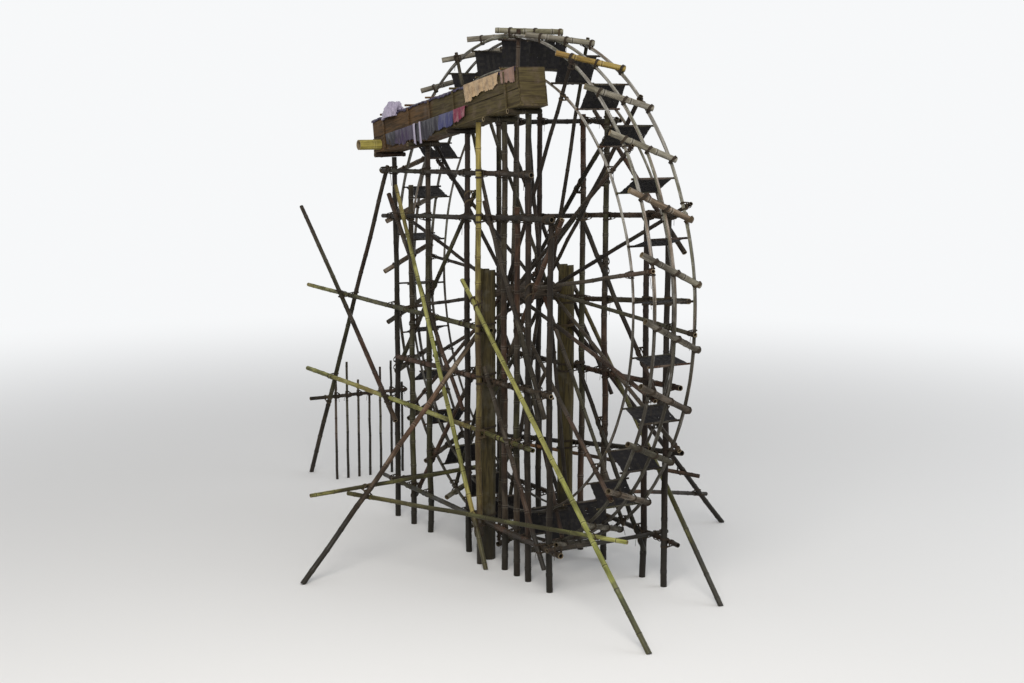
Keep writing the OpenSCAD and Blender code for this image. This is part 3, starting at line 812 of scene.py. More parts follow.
def plastic_material(name, colour, faded, crease_highlight, others=()):
    """Thin creased plastic sheet, faded in patches, with painted highlights on its crease ridges and painted shade
    in their hollows.

    Each of others is a colour and the two places along the trough between which it rules.
    """

    def build(g):
        culm, place = marks(g)[0], g.place()
        along = g.part(culm, 2)
        crease = g.noise(place, 1.0, 5.0, 0.62, 1.2, stretch=(14.0, 26.0, 9.0))
        fade = g.noise(place, 6.0, 4.0)
        along = g.math("ADD", along, g.ramp(fade, 0.3, 0.7, -0.05, 0.05))
        base = colour
        for other, low, high in others:
            inside = g.math("MULTIPLY", g.ramp(along, low - 0.03, low + 0.03),
                            g.ramp(along, high + 0.03, high - 0.03))
            base = g.mix(inside, base, other)
        base = g.mix(g.ramp(fade, 0.45, 0.72, 0.0, 0.55), base, faded)
        # Painted highlight where the crease height is high, and near-black painted shade where it is low
        base = g.mix(g.ramp(crease, 0.60, 0.74, 0.0, 0.45), base, crease_highlight)
        base = g.mix(g.ramp(crease, 0.42, 0.28, 0.0, 0.5), base, (0.006, 0.006, 0.008))
        return base, g.ramp(fade, 0.3, 0.7, 0.32, 0.5), crease

    return finish_material(name, build, distance=0.004, gloss=0.4)


def sack_material(name, colour, dirt_colour, gap):
    """Coarse cloth: a woven grid of yarns on the cloth's own coordinates."""

    def build(g):
        culm = marks(g)[0]
        yarns = [g.add("ShaderNodeTexWave", {"Vector": culm, "Scale": 60.0, "Distortion": 0.6},
                       bands_direction=way).outputs["Fac"] for way in "XZ"]
        dirt = g.noise(culm, 9.0, 5.0, 0.62)
        weave = g.math("MAXIMUM", *yarns)
        base = g.mix(g.ramp(dirt, 0.45, 0.66, 0.0, 0.8), colour, dirt_colour)
        base = g.mix(g.ramp(weave, 0.8, 0.3, 0.0, 0.45), base, gap)
        return base, g.ramp(dirt, 0.3, 0.7, 0.95, 0.85), weave

    return finish_material(name, build, distance=0.0012, sheen=0.15)


SOAKED = (0.018, 0.016, 0.012)
OLD = ((0.046, 0.044, 0.014), (0.070, 0.030, 0.014), (0.010, 0.0075, 0.0055), (0.16, 0.145, 0.12), 0.85, 0.6)
# How each finish is made: its colour, or the setting that holds it, and what else it takes. For
# bamboo that is its olive, red, stained and bleached shades, and how aged, stained and bleached it is.
FINISHES = {
    "weathered_bamboo": (bamboo, "weathered", *OLD, 0.18),
    "spoke_bamboo": (bamboo, "weathered", *OLD, 0.1, DRY),
    "bleached_bamboo": (bamboo, "bleached", (0.20, 0.195, 0.13), (0.25, 0.19, 0.14), (0.030, 0.025, 0.018),
                        (0.42, 0.40, 0.37), 0.9, 0.3, 0.6, DRY),
    "yellow_bamboo": (bamboo, "yellow", (0.27, 0.235, 0.05), (0.30, 0.13, 0.03), (0.040, 0.022, 0.009),
                      (0.42, 0.34, 0.14), 0.92, 0.35, 0.3, WATER_LEVEL, 0.35),
    "green_bamboo": (bamboo, "green", (0.24, 0.26, 0.055), (0.33, 0.24, 0.06), (0.020, 0.016, 0.006),
                     (0.42, 0.40, 0.17), 0.95, 0.3, 0.35, WATER_LEVEL, 0.3),
    "spout_bamboo": (bamboo, (0.40, 0.335, 0.075), (0.34, 0.33, 0.07), (0.38, 0.26, 0.07),
                     (0.05, 0.035, 0.012), (0.50, 0.44, 0.18), 0.9, 0.2, 0.3, DRY, 0.35),
    "tan_bamboo": (bamboo, (0.19, 0.130, 0.078), (0.15, 0.12, 0.055), (0.20, 0.105, 0.06),
                   (0.018, 0.013, 0.009), (0.33, 0.27, 0.20), 0.95, 0.35, 0.3),
    "rust_bamboo": (bamboo, (0.17, 0.085, 0.030), (0.13, 0.10, 0.03), (0.22, 0.09, 0.03),
                    (0.018, 0.012, 0.008), (0.30, 0.22, 0.13), 0.95, 0.35, 0.2),
    "tube_bamboo": (bamboo, "tube", (0.18, 0.165, 0.09), (0.20, 0.14, 0.09), (0.022, 0.018, 0.013),
                    (0.36, 0.34, 0.30), 0.9, 0.4, 0.45, DRY),
    "post_wood": (timber, "timber", (0.018, 0.014, 0.006), 0.6, 0.006),
    "axle_log": (timber, (0.07, 0.052, 0.036), (0.015, 0.012, 0.009), 0.4, 0.004, DRY),
    "trough_board": (timber, "board", (0.026, 0.017, 0.008), 0.5, 0.002, DRY, (0.085, 0.066, 0.026)),
    "rope": (rope_material, "rope"),
    "woven_mat": (mat_material, "matting", (0.030, 0.027, 0.023)),
    "lining_plastic": (plastic_material, "plastic", (0.060, 0.040, 0.090), (0.12, 0.10, 0.16)),
    "outer_plastic": (
        plastic_material, (0.010, 0.008, 0.013), (0.018, 0.014, 0.022), (0.10, 0.09, 0.12),
        [((0.032, 0.034, 0.105), 1.5, 2.16), ((0.026, 0.012, 0.040), 2.95, 3.55)]),
    "pale_plastic": (plastic_material, (0.36, 0.32, 0.41), (0.24, 0.20, 0.30), (0.62, 0.60, 0.66)),
    "red_rag": (sack_material, (0.175, 0.018, 0.048), (0.30, 0.13, 0.14), (0.05, 0.008, 0.016)),
    "brown_rag": (sack_material, (0.26, 0.155, 0.115), (0.12, 0.065, 0.045), (0.07, 0.045, 0.035)),
    "sack_cloth": (sack_material, "sack", (0.20, 0.13, 0.075), (0.12, 0.08, 0.05)),
}


def palette(finish):
    """Makes a finish once and returns it; its name in words keeps it apart from the CAD's own."""
    name = finish.replace("_", " ").capitalize()
    make, colour, *rest = FINISHES[finish]
    if isinstance(colour, str):
        colour = getattr(sizes("finish_colours"), colour)
    return bpy.data.materials.get(name) or make(name, colour, *rest)


# Pieces of the frame


def frame_poles():
    """Every pole of the frame, by node, the lowest first, as the CAD has it."""
    return {node: sorted(poles_of(node), key=lambda p: min(p[0][2], p[1][2])) for node in POLE_NODES}


class WHEEL_OT_frame_poles(bpy.types.Operator):
    """Dress every pole of the frame as a bamboo culm"""

    bl_idname = "waterwheel.frame_poles"
    bl_label = "Frame poles"

    def execute(self, context):
        for index, (node, poles) in enumerate(frame_poles().items()):
            rng = np.random.default_rng(100 + index)
            own, looks, skins = SLOTS[node], POLE_LOOKS.get(node, ()), {}
            for k, (low, high, radius) in enumerate(poles):
                finish, shades = looks[k] if k < len(looks) else (own, None)
                skin = skins.setdefault(finish, Skin())
                add_culm(skin, low, high, radius, rng, grounded=low[2] < 0.01, shades=shades)
            main = own if own in skins else next(iter(skins))
            for finish, skin in skins.items():
                slot = finish if finish in SLOTS.values() else own
                if finish == main:
                    skin.make(node + "_culms", palette(finish), FRAME_BODY, slot, [node])
                else:
                    skin.make(node + "_" + finish, palette(finish), FRAME_BODY, slot)
        return {"FINISHED"}


def trunk(skin, start, end, radius, rng, rows, sides=40, rough=0.05):
    """A log: a round bar whose radius swells and dips with low waves along and around it."""
    direction = unit((end - start)[None])
    z, angle = np.linspace(0, np.linalg.norm(end - start), rows)[:, None], circle(sides)
    swell = np.zeros((rows, sides))
    for _ in range(9):
        k, m = rng.integers(0, 5), rng.uniform(0.3, 3.0)
        swell += rng.normal(0, rough / 4) * np.cos(k * angle + m * z + rng.uniform(0, 6.28))
    swell += rng.normal(0, rough / 9, sides) * np.cos(3 * z + np.arange(sides))
    r = radius * (1 + np.clip(swell, -rough, rough) - rough)
    points = sweep(start + direction * z, r, angle, *across(direction))
    mark = stacked(r * np.cos(angle), r * np.sin(angle), z) + rng.uniform(0, 20, 3)
    skin.add_grid(points, True, mark, rng.uniform(0, 1), ends=(True, True))


class WHEEL_OT_bearing_posts(bpy.types.Operator):
    """Carve the two forked posts that carry the axle"""

    bl_idname = "waterwheel.bearing_posts"
    bl_label = "Bearing posts"

    def execute(self, context):
        for index, node in enumerate(POST_NODES):
            rng = np.random.default_rng(300 + index)
            foot, top, radius = post_of(node)
            skin = Skin()
            trunk(skin, foot, top, radius, rng, 160)
            piece = skin.make(node + "_log", palette("post_wood"), FRAME_BODY, "post_wood", [node], 50)
            self.cut_fork(piece, foot, top, rng)
        return {"FINISHED"}

    def cut_fork(self, piece, foot, top, rng):
        """Takes a round-bottomed slot out of the log's top, where the axle lies."""
        low, high = corners_of("axle")
        seat = (high[2] - low[2]) / 2 * JOURNAL_SHARE
        angle = np.linspace(np.pi, TURN, 25)
        profile = stacked(seat * np.cos(angle), HUB[2] + seat * np.sin(angle))
        profile = np.concatenate([profile, [[seat * 1.6, top[2] + 0.1], [-seat * 1.6, top[2] + 0.1]]])
        x = foot[0] + np.array([-0.3, 0.3])
        skin = Skin()
        skin.add_grid(stacked(x[:, None], profile[:, 0] + HUB[1], profile[:, 1]), True, ends=(True, True))
        cutter = skin.make("fork_slot", palette("post_wood"), FRAME_BODY, "post_wood")
        cut = piece.modifiers.new("Fork", "BOOLEAN")
        cut.operation, cut.object, cut.solver = "DIFFERENCE", cutter, "EXACT"
        shaped = bpy.data.meshes.new_from_object(piece.evaluated_get(bpy.context.evaluated_depsgraph_get()))
        piece.modifiers.clear()
        piece.data = shaped
        shaped.set_sharp_from_angle(angle=math.radians(50))
        bpy.data.objects.remove(cutter)
        points = points_of(shaped)
        tone = rng.uniform(0, 1)
        carved = (points[:, 2] > HUB[2] - seat - 0.01) & (np.abs(points[:, 1] - HUB[1]) < seat + 0.001)
        place = points - (foot + top) / 2 + rng.uniform(0, 20, 3)
        set_marks(shaped, place, stacked(tone, 0.7 * carved, 1.0))


class WHEEL_OT_frame_lashings(bpy.types.Operator):
    """Lash the frame's poles wherever two of them meet"""

    bl_idname = "waterwheel.frame_lashings"
    bl_label = "Frame lashings"

    def execute(self, context):
        poles = [pole for node in frame_poles().values() for pole in node]
        poles += [post_of(node) for node in POST_NODES]
        sides = {"bank_lashings": Skin(), "river_lashings": Skin()}
        rng = np.random.default_rng(500)
        for i, p in enumerate(poles):
            for q in poles[i + 1:]:
                x, y, gap = closest(p, q)
                if gap - p[2] - q[2] > TOUCHING or gap < 0.8 * (p[2] + q[2]):
                    continue
                lift = unit(y - x)
                place = x + lift * p[2]
                skin = sides["bank_lashings" if place[0] < 0 else "river_lashings"]
                short = spare(p, x) < q[2] + LASHING_ROOM or spare(q, y) < p[2] + LASHING_ROOM
                add_lashing(skin, place, p[1] - p[0], q[1] - q[0], lift, p[2], q[2], rng, short=short)
        for name, skin in sides.items():
            skin.make(name, palette("rope"), FRAME_BODY, "weathered_bamboo")
        return {"FINISHED"}


# Pieces of the wheel


def wheel_point(x, radius, angle, side=0.0):
    """Points on the wheel: across, out from the axle at an angle that grows upwards, and sideways."""
    c, s = np.cos(angle), np.sin(angle)
    radius, side = np.asarray(radius)[..., None], np.asarray(side)[..., None]
    return HUB + stacked(x, 0.0, 0.0) + stacked(0.0, -c, s) * radius + stacked(0.0, s, c) * side


def ring_sizes(node):
    """Place along the axle, ring radius and bar radius of a rim or hoop."""
    low, high = corners_of(node)
    bar = (high[0] - low[0]) / 2
    return (low[0] + high[0]) / 2, (high[1] - low[1]) / 2 - bar, bar


def spokes_of(node):
    """Inner end, outer end and radius of each spoke."""
    for low, high, radius in poles_of(node):
        yield *sorted((low, high), key=lambda p: np.linalg.norm((p - HUB)[1:])), radius


def bucket_tubes(node):
    """Closed end, open end and outer radius of each tube: the open end is the bank side's."""
    for points, tris in solids(node):
        low, high, _ = pole_of(points, tris)
        axis = unit(high - low)
        away = points[np.unique(tris)] - (low + high) / 2
        radius = np.linalg.norm(away - np.outer(away @ axis, axis), axis=1).max()
        yield (low, high, radius) if low[0] > high[0] else (high, low, radius)


def outside_painted_highlight(angle):
    """How stained a piece of the wheel is: nought on its upper side, where a paler tone is painted in as a
    highlight from the sky, one elsewhere.
    """
    high = np.clip((np.sin(angle) + 0.15) / 0.45, 0, 1)
    return 1 - high * high * (3 - 2 * high)


class WHEEL_OT_rims(bpy.types.Operator):
    """Bend the rims and hoops from bundles of split bamboo"""

    bl_idname = "waterwheel.rims"
    bl_label = "Rims and hoops"

    def execute(self, context):
        for index, node in enumerate(RIM_NODES + HOOP_NODES):
            rng = np.random.default_rng(700 + index)
            skin = Skin()
            for start in circle(3):
                self.add_strand(skin, *ring_sizes(node), start, rng)
            skin.make(node + "_strips", palette("bleached_bamboo"), WHEEL_BODY, "bleached_bamboo", [node])
        return {"FINISHED"}

    def add_strand(self, skin, x, radius, bar, start, rng):
        """One split strip wound slowly round its fellows: a ring with a small turning offset."""
        angle, turn = circle(360), circle(8)
        thick, knot_gap = bar * 0.5, 0.3
        twist = start + 5 * angle
        drift = sum(rng.normal(0, 0.06) * np.sin(m * angle + rng.uniform(0, 6.28)) for m in range(6, 20))
        r = radius + (bar - thick) * np.cos(twist) * 0.95 + drift * bar * 0.5
        centre = wheel_point(x + (bar - thick) * np.sin(twist) * 0.95, r, angle)
        arc = angle * radius + rng.uniform(0, knot_gap)
        knot = np.abs((arc % knot_gap) - knot_gap / 2)
        size = thick * (1 + 0.1 * np.exp(-(knot / 0.012) ** 2))
        rows = sweep(centre, size[:, None], turn, wheel_point(0.0, 1.0, angle) - HUB, AXLE[None])
        mark = stacked(thick * np.cos(turn), thick * np.sin(turn), arc[:, None]) + rng.uniform(0, 20, 3)
        # Painted highlight: the strips are paler on the wheel's upper side, as if lit by the sky
        tone = 0.1 + 0.75 * outside_painted_highlight(angle)
        rows, mark, knot, tone = (np.concatenate([a, a[:1]]) for a in (rows, mark, knot, tone))
        mark[-1, :, 2] += TURN * radius
        skin.add_grid(rows, True, mark, tone + rng.uniform(-0.1, 0.15), 0.0, knot)


class WHEEL_OT_spokes(bpy.types.Operator):
    """Dress the spokes as thin culms"""

    bl_idname = "waterwheel.spokes"
    bl_label = "Spokes"

    def execute(self, context):
        for index, node in enumerate(SPOKE_NODES):
            rng = np.random.default_rng(800 + index)
            skin = Skin()
            for inner, outer, radius in spokes_of(node):
                tip = outer + unit(outer - inner) * 0.09
                add_culm(skin, inner, tip, radius * 0.92, rng, bow=0.002, sides=12)
            skin.make(node + "_culms", palette("spoke_bamboo"), WHEEL_BODY, "weathered_bamboo", [node])
        return {"FINISHED"}


class WHEEL_OT_axle(bpy.types.Operator):
    """Hew the hub log and its two turned ends"""

    bl_idname = "waterwheel.axle"
    bl_label = "Axle"

    def execute(self, context):
        rng = np.random.default_rng(900)
        low, high = corners_of("axle")
        radius = (high[2] - low[2]) / 2
        reach = max(abs(spoke[0][0]) for node in SPOKE_NODES for spoke in poles_of(node)) + 0.065
        skin = Skin()
        trunk(skin, *self.on_axle(-reach, reach), radius, rng, 60, rough=0.04)
        for end in (low[0], high[0]):
            ends = sorted((math.copysign(reach - 0.01, end), end))
            trunk(skin, *self.on_axle(*ends), radius * JOURNAL_SHARE * 0.985, rng, 20, 32, 0.01)
        skin.make("axle_hub", palette("axle_log"), WHEEL_BODY, "axle_log", ["axle"], 50)
        return {"FINISHED"}

    def on_axle(self, *x):
        """Points on the axle's line at those places across."""
        return HUB * (0, 1, 1) + AXLE * np.array(x)[:, None]


class WHEEL_OT_tubes(bpy.types.Operator):
    """Turn the bucket tubes, open at the bank end and closed by a node at the river end"""

    bl_idname = "waterwheel.tubes"
    bl_label = "Bucket tubes"

    def execute(self, context):
        for index, node in enumerate(TUBE_NODES):
            rng = np.random.default_rng(1000 + index)
            skin, yellow = Skin(), Skin()
            for closed, mouth, radius in bucket_tubes(node):
                middle = (closed + mouth) / 2 - HUB
                angle = math.atan2(middle[2], -middle[1])
                bright = abs(math.degrees(angle) - YELLOW_TUBE) < 3
                self.add_tube(yellow if bright else skin, closed, mouth, radius, float(outside_painted_highlight(angle)), rng)
            skin.make(node + "_culms", palette("tube_bamboo"), WHEEL_BODY, "tube_bamboo", [node])
            if yellow.count:
                yellow.make("yellow_tube_culm", palette("yellow_bamboo"), WHEEL_BODY, "yellow_bamboo")
        return {"FINISHED"}

    def add_tube(self, skin, closed, mouth, radius, stained, rng):
        """One long profile: rounded closed end, outside with nodes, mouth, inside to the septum."""
        length = np.linalg.norm(mouth - closed)
        direction = (mouth - closed) / length
        radius = radius * rng.uniform(0.95, 0.985)
        z, r, cut, knot = culm_profile(length, radius, rng, taper=0.04, hollow=False)
        inner = r[-1] - TUBE_WALL
        z = np.concatenate([[0.006, 0.0], z[1:], [length, length, length * 0.6, 0.05, 0.02]])
        r = np.concatenate([
            [r[0] * 0.6, r[0] * 0.97], r[1:], [r[-1] * 0.99, inner, inner, inner * 0.96, inner * 0.9]])
        # Below nought, cut paints shade into the tube's mouth, down to near-black at the septum
        cut = np.concatenate([[0.3, 0.3], cut[1:], [1.0, 1.0, -0.35, -1.0, -1.0]])
        knot = np.concatenate([[1.0, 1.0], knot[1:], np.ones(5)])
        # stained is nought on the wheel's upper side, where a paler tone is painted in as a highlight from the sky
        tone = np.clip(0.1 + 0.6 * stained + rng.uniform(-0.15, 0.2), 0, 1)
        revolve(skin, closed + direction * z[:, None], direction, r, 24, tone, cut, knot, z,
                rng.uniform(0, 40, 3), oval=rng.uniform(0, 0.03))


class WHEEL_OT_paddles(bpy.types.Operator):
    """Weave the paddles and lay them on their rods"""

    bl_idname = "waterwheel.paddles"
    bl_label = "Paddles"

    def execute(self, context):
        rng = np.random.default_rng(1100)
        mats, rods = Skin(), Skin()
        _, rim, rim_bar = ring_sizes("middle_rim")
        _, hoop, hoop_bar = ring_sizes("bank_hoop")
        low, high = corners_of("paddles")
        half = (high[0] - low[0]) / 2
        inner, outer = hoop + hoop_bar + PADDLE_ROD, rim - rim_bar - PADDLE_ROD
        for angle in self.angles():
            for radius in (inner, outer):
                ends = (wheel_point(x, radius, angle) for x in (-half, half))
                add_culm(rods, *ends, PADDLE_ROD, rng, bow=0.0, sides=8)
            self.weave(mats, angle, inner, outer, 2 * (half - 0.055), rng)
        mats.make("paddle_mats", palette("woven_mat"), WHEEL_BODY, "woven_mat", ["paddles"], 60)
        rods.make("paddle_rods", palette("spoke_bamboo"), WHEEL_BODY, "weathered_bamboo")
        return {"FINISHED"}

    def angles(self):
        """The angle of each paddle, from the middles of the CAD's solids."""
        middles = [points[np.unique(tris)].mean(0) - HUB for points, tris in solids("paddles")]
        return sorted(math.atan2(m[2], -m[1]) for m in middles)

    def weave(self, skin, angle, inner, outer, width, rng):
        """Strips over and under each other: each one's height is a cosine of the crossing count.

        A strip's run counts the strips it crosses; its ends stick out by a random part of one, and
        a few strips are lost. Half a strip is a little more than half a step, so the mat is close.
        """
        s = sizes("mat_sizes")
        cols, rows = round(width / s.strip), round((outer - inner) / s.strip)
        x_step, r_step = width / cols, (outer - inner) / rows
        for k in range(cols):
            if rng.random() < LOST_OUTWARD:
                continue
            run = self.crossings(rows, 0.5, rng)
            x = (k + 0.5) * x_step - width / 2 + rng.normal(0, 0.002) + rng.normal(0, 0.004) * np.sin(run)
            lift = s.thickness * STRIP_LIFT * np.cos(np.pi * (run + k))
            r = inner + (run + 0.5) * r_step
            self.add_strip(skin, angle, x, r, lift, x_step * HALF_STRIP, False, rng)
        for k in range(rows):
            if rng.random() < LOST_LEVEL:
                continue
            run = self.crossings(cols, 0.2, rng)
            r = inner + (k + 0.5) * r_step + rng.normal(0, 0.002) + 0 * run
            lift = -s.thickness * STRIP_LIFT * np.cos(np.pi * (run + k))
            x = (run + 0.5) * x_step - width / 2
            self.add_strip(skin, angle, x, r, lift, r_step * HALF_STRIP, True, rng)

    def crossings(self, count, fray, rng):
        """A strip's run from end to end, counted in the strips it crosses, two points to each."""
        return np.linspace(-0.5 - rng.uniform(0, fray), count - 0.5 + rng.uniform(0, 0.2), 2 * count + 1)

    def add_strip(self, skin, angle, x, r, lift, half, level, rng):
        """A flat strip with four long edges, swept along its wavy middle line, level or outwards."""
        t = sizes("mat_sizes").thickness / 2
        corners = np.array([(half, t), (half, -t), (-half, -t), (-half, t)])
        side, up = (corners[::-1] if level else corners).T
        x, r, lift = x[:, None], r[:, None], lift[:, None]
        rows = wheel_point(x + side * (not level), r + side * level, angle, lift + up)
        mark = stacked(side, up, x if level else r) + rng.uniform(0, 30, 3)
        skin.add_grid(rows, True, mark, rng.uniform(0, 1), ends=(True, True))


class WHEEL_OT_wheel_lashings(bpy.types.Operator):
    """Lash the tubes and spokes to the rims and hoops"""

    bl_idname = "waterwheel.wheel_lashings"
    bl_label = "Wheel lashings"

    def execute(self, context):
        rng = np.random.default_rng(1200)
        skin = Skin()
        tubes = [tube for node in TUBE_NODES for tube in bucket_tubes(node)]
        for node in RIM_NODES:
            x, _, bar = ring_sizes(node)
            for closed, mouth, size in tubes:
                at = closed + (mouth - closed) * ((x - closed[0]) / (mouth[0] - closed[0]))
                out = unit((at - HUB) * np.array([0, 1.0, 1.0]))
                add_lashing(skin, at - out * (size * 0.97), np.cross(out, AXLE), mouth - closed, out,
                            bar, size * 0.97, rng, 2, short=True)
        rings = [ring_sizes(node) for node in RIM_NODES + HOOP_NODES]
        for node in SPOKE_NODES:
            for inner, outer, size in spokes_of(node):
                way = unit(outer - inner)
                for x, radius, bar in (ring for ring in rings if ring[0] * inner[0] > 0):
                    at = inner + way * (radius - np.linalg.norm((inner - HUB)[1:]))
                    lift = AXLE * math.copysign(1.0, at[0] - x)
                    place = np.array([x, at[1], at[2]]) + lift * bar
                    add_lashing(skin, place, np.cross(way, AXLE), way, lift, bar, size, rng, 2)
        skin.make("wheel_lashings", palette("rope"), WHEEL_BODY, "weathered_bamboo")
        return {"FINISHED"}


# The trough


def trough_frame():
    """Corner and directions of the trough: down its length, up its walls; and its sizes."""
    points, tris = solids("trough_floor")[0]
    corners = points[np.unique(tris)]
    low, high = corners.min(0), corners.max(0)
    side = corners[np.abs(corners[:, 0] - low[0]) < 1e-4]
    start = side[side[:, 1] < side[:, 1].mean()]
    end = side[side[:, 1] > side[:, 1].mean()]
    bottom, top = start[start[:, 2].argmin()], start[start[:, 2].argmax()]
    far = end[end[:, 2].argmin()]
    up = unit(top - bottom)
    return {
        "corner": top,
        "along": unit(far - bottom),
        "up": up,
        "length": float(np.linalg.norm(far - bottom)),
        "width": float(high[0] - low[0]),
        "board": float(np.linalg.norm(top - bottom)),
        "wall": float(np.ptp(reach_of("trough_inner_wall", up))),
    }


def reach_of(node, direction, origin=0.0):
    """How far each point of a node's first solid lies along a direction."""
    points, tris = solids(node)[0]
    return (points[np.unique(tris)] - origin) @ direction


def on_trough(t, x, y, z):
    """Points in the trough's own frame: x from its outer face, y down it, z above its floor."""
    x, y, z = (np.asarray(v, float)[..., None] for v in (x, y, z))
    return t["corner"] + x * AXLE + y * t["along"] + z * t["up"]


def add_plank(skin, t, x, y, z, rng, warp=0.004, rows=30):
    """A board with soft edges between two x, two y and two z values; it runs along y.

    Its section is a rectangle with rounded corners, four points to each, and a slow wave warps
    it from row to row.
    """
    run = np.linspace(*y, rows)[:, None]
    hx, hz = abs(x[1] - x[0]) / 2, abs(z[1] - z[0]) / 2
    angle = circle(16) + np.pi / 16
    px, pz = (np.sign(w) * (half - EDGE) + EDGE * w for half, w in ((hx, np.cos(angle)), (hz, np.sin(angle))))
    phase = rng.uniform(0, 6.28, 3)
    wave = warp * (np.sin(1.7 * run + phase[0]) + 0.5 * np.sin(4.3 * run + phase[1]))
    nick = rng.normal(0, warp * 0.25, (rows, len(angle)))
    gx = (x[0] + x[1]) / 2 + px + wave * (hz > hx) + nick * (hz > hx)
    gz = (z[0] + z[1]) / 2 + pz + wave * (hx > hz) + nick
    mark = stacked(gx, gz, run)
    if hx > abs(y[1] - y[0]):
        mark = mark[..., ::-1]
    mark = mark + rng.uniform(0, 20, 3)
    skin.add_grid(on_trough(t, gx, run, gz), True, mark, rng.uniform(0, 1), ends=(True, True))


def add_holed_plank(skin, t, x, y, z, middle, hole, rng):
    """A board between two x, two y and two z values, with a round hole through it along x.

    Rays leave the hole's middle at even angles and at the corners, and end at the board's edge.
    On each ray the section runs round: edge, outer face, hole, inner face.
    """
    dy, dz = np.array(y) - middle[0], np.array(z) - middle[1]
    corners = np.arctan2(np.tile(dz, 2), np.repeat(dy, 2))
    angle = np.sort(np.concatenate([np.linspace(-3.1, 3.1, 48), corners]))
    angle = np.append(angle, angle[0])[:, None]
    c, s = np.cos(angle), np.sin(angle)
    reach = np.minimum(np.where(c > 0, dy[1], dy[0]) / c, np.where(s > 0, dz[1], dz[0]) / s)
    inset = reach - EDGE
    r = np.concatenate([reach, inset, hole + 0 * c, hole + 0 * c, inset, reach], axis=1)
    gx = np.array([x[0] + EDGE, x[0], x[0], x[1], x[1], x[1] - EDGE])
    gy, gz = middle[0] + r * c, middle[1] + r * s
    mark = stacked(gx, gz, gy) + rng.uniform(0, 20, 3)
    skin.add_grid(on_trough(t, gx, gy, gz), True, mark, rng.uniform(0, 1))


def spout_place(t):
    """Middle of the spout's mouth, its bore, and its place along the trough and above the floor."""
    mount = next(m for m in frame["record"]["mounts"] if m["name"] == "spout_bore")
    mouth = np.array(mount["pos_m"], float)
    away = mouth - t["corner"]
    return mouth, mount["dims"]["r_mm"] / 1000, (away @ t["along"], away @ t["up"])


class WHEEL_OT_trough(bpy.types.Operator):
    """Nail the trough together from rough boards"""

    bl_idname = "waterwheel.trough"
    bl_label = "Trough"

    def execute(self, context):
        t = trough_frame()
        b, w, h, l = t["board"], t["width"], t["wall"], t["length"]
        below, above = (0.0, h * (JOINT - JOINT_GAP)), (h * (JOINT + JOINT_GAP), h)
        parts = {
            "trough_floor": [
                ((0, w / 2 - FLOOR_GAP), (0, l), (-b, 0)), ((w / 2 + FLOOR_GAP, w), (0, l), (-b, 0))],
            "trough_outer_wall": [
                ((0, b), (0, l - SPOUT_BOARD), below), ((0.002, b), (0.02, l - 0.05), above)],
            "trough_inner_wall": [
                ((w - b, w), (0, l), (0.0, h * 0.5)), ((w - b, w), (0.01, l), (h * 0.51, h))],
        }
        for index, (node, planks) in enumerate(parts.items()):
            rng = np.random.default_rng(1300 + index)
            skin = Skin()
            for x, y, z in planks:
                add_plank(skin, t, x, y, z, rng)
            if node == "trough_outer_wall":
                hole = np.ptp(reach_of("spout", t["up"])) / 2 + 0.001
                add_holed_plank(
                    skin, t, (0, b), (l - SPOUT_BOARD, l), below, spout_place(t)[2], hole, rng)
            self.board_piece(skin, node + "_boards", [node])
        rng = np.random.default_rng(1310)
        ends, battens = Skin(), Skin()
        for y in (0.0, l - b):
            add_plank(ends, t, (b, w - b), (y, y + b), (0.0, h), rng, rows=3)
        self.board_piece(ends, "trough_ends", ["trough_end_boards"])
        thick, wide = BATTEN
        for y in (*BATTENS, l - 0.45):
            for x in (-thick - 0.006, w + 0.003):
                add_plank(battens, t, (x, x + thick), (y, y + wide), (-b, h - 0.01), rng, 0.001, 3)
            rod = (on_trough(t, x, y + wide / 2, h + ROD + 0.01) for x in (-0.05, w + 0.05))
            add_culm(battens, *rod, ROD, rng, sides=10)
        self.board_piece(battens, "trough_battens", [])
        return {"FINISHED"}

    def board_piece(self, skin, name, replaced):
        """Makes one piece of boards, in the place of those nodes."""
        skin.make(name, palette("trough_board"), FRAME_BODY, "trough_board", replaced)


def path_lengths(corners):
    """Length along a path at each of its corners."""
    return np.concatenate([[0], np.cumsum(np.linalg.norm(np.diff(corners, axis=0), axis=1))])


def ripple(y, length, rng):
    """A wave of that length whose phase wanders, so that no two folds are alike."""
    a, b, c = rng.uniform(0, 6.28, 3)
    return np.sin(TURN * y / length + 1.3 * np.sin(7 * y + a) + 0.8 * np.sin(17 * y + b) + c)


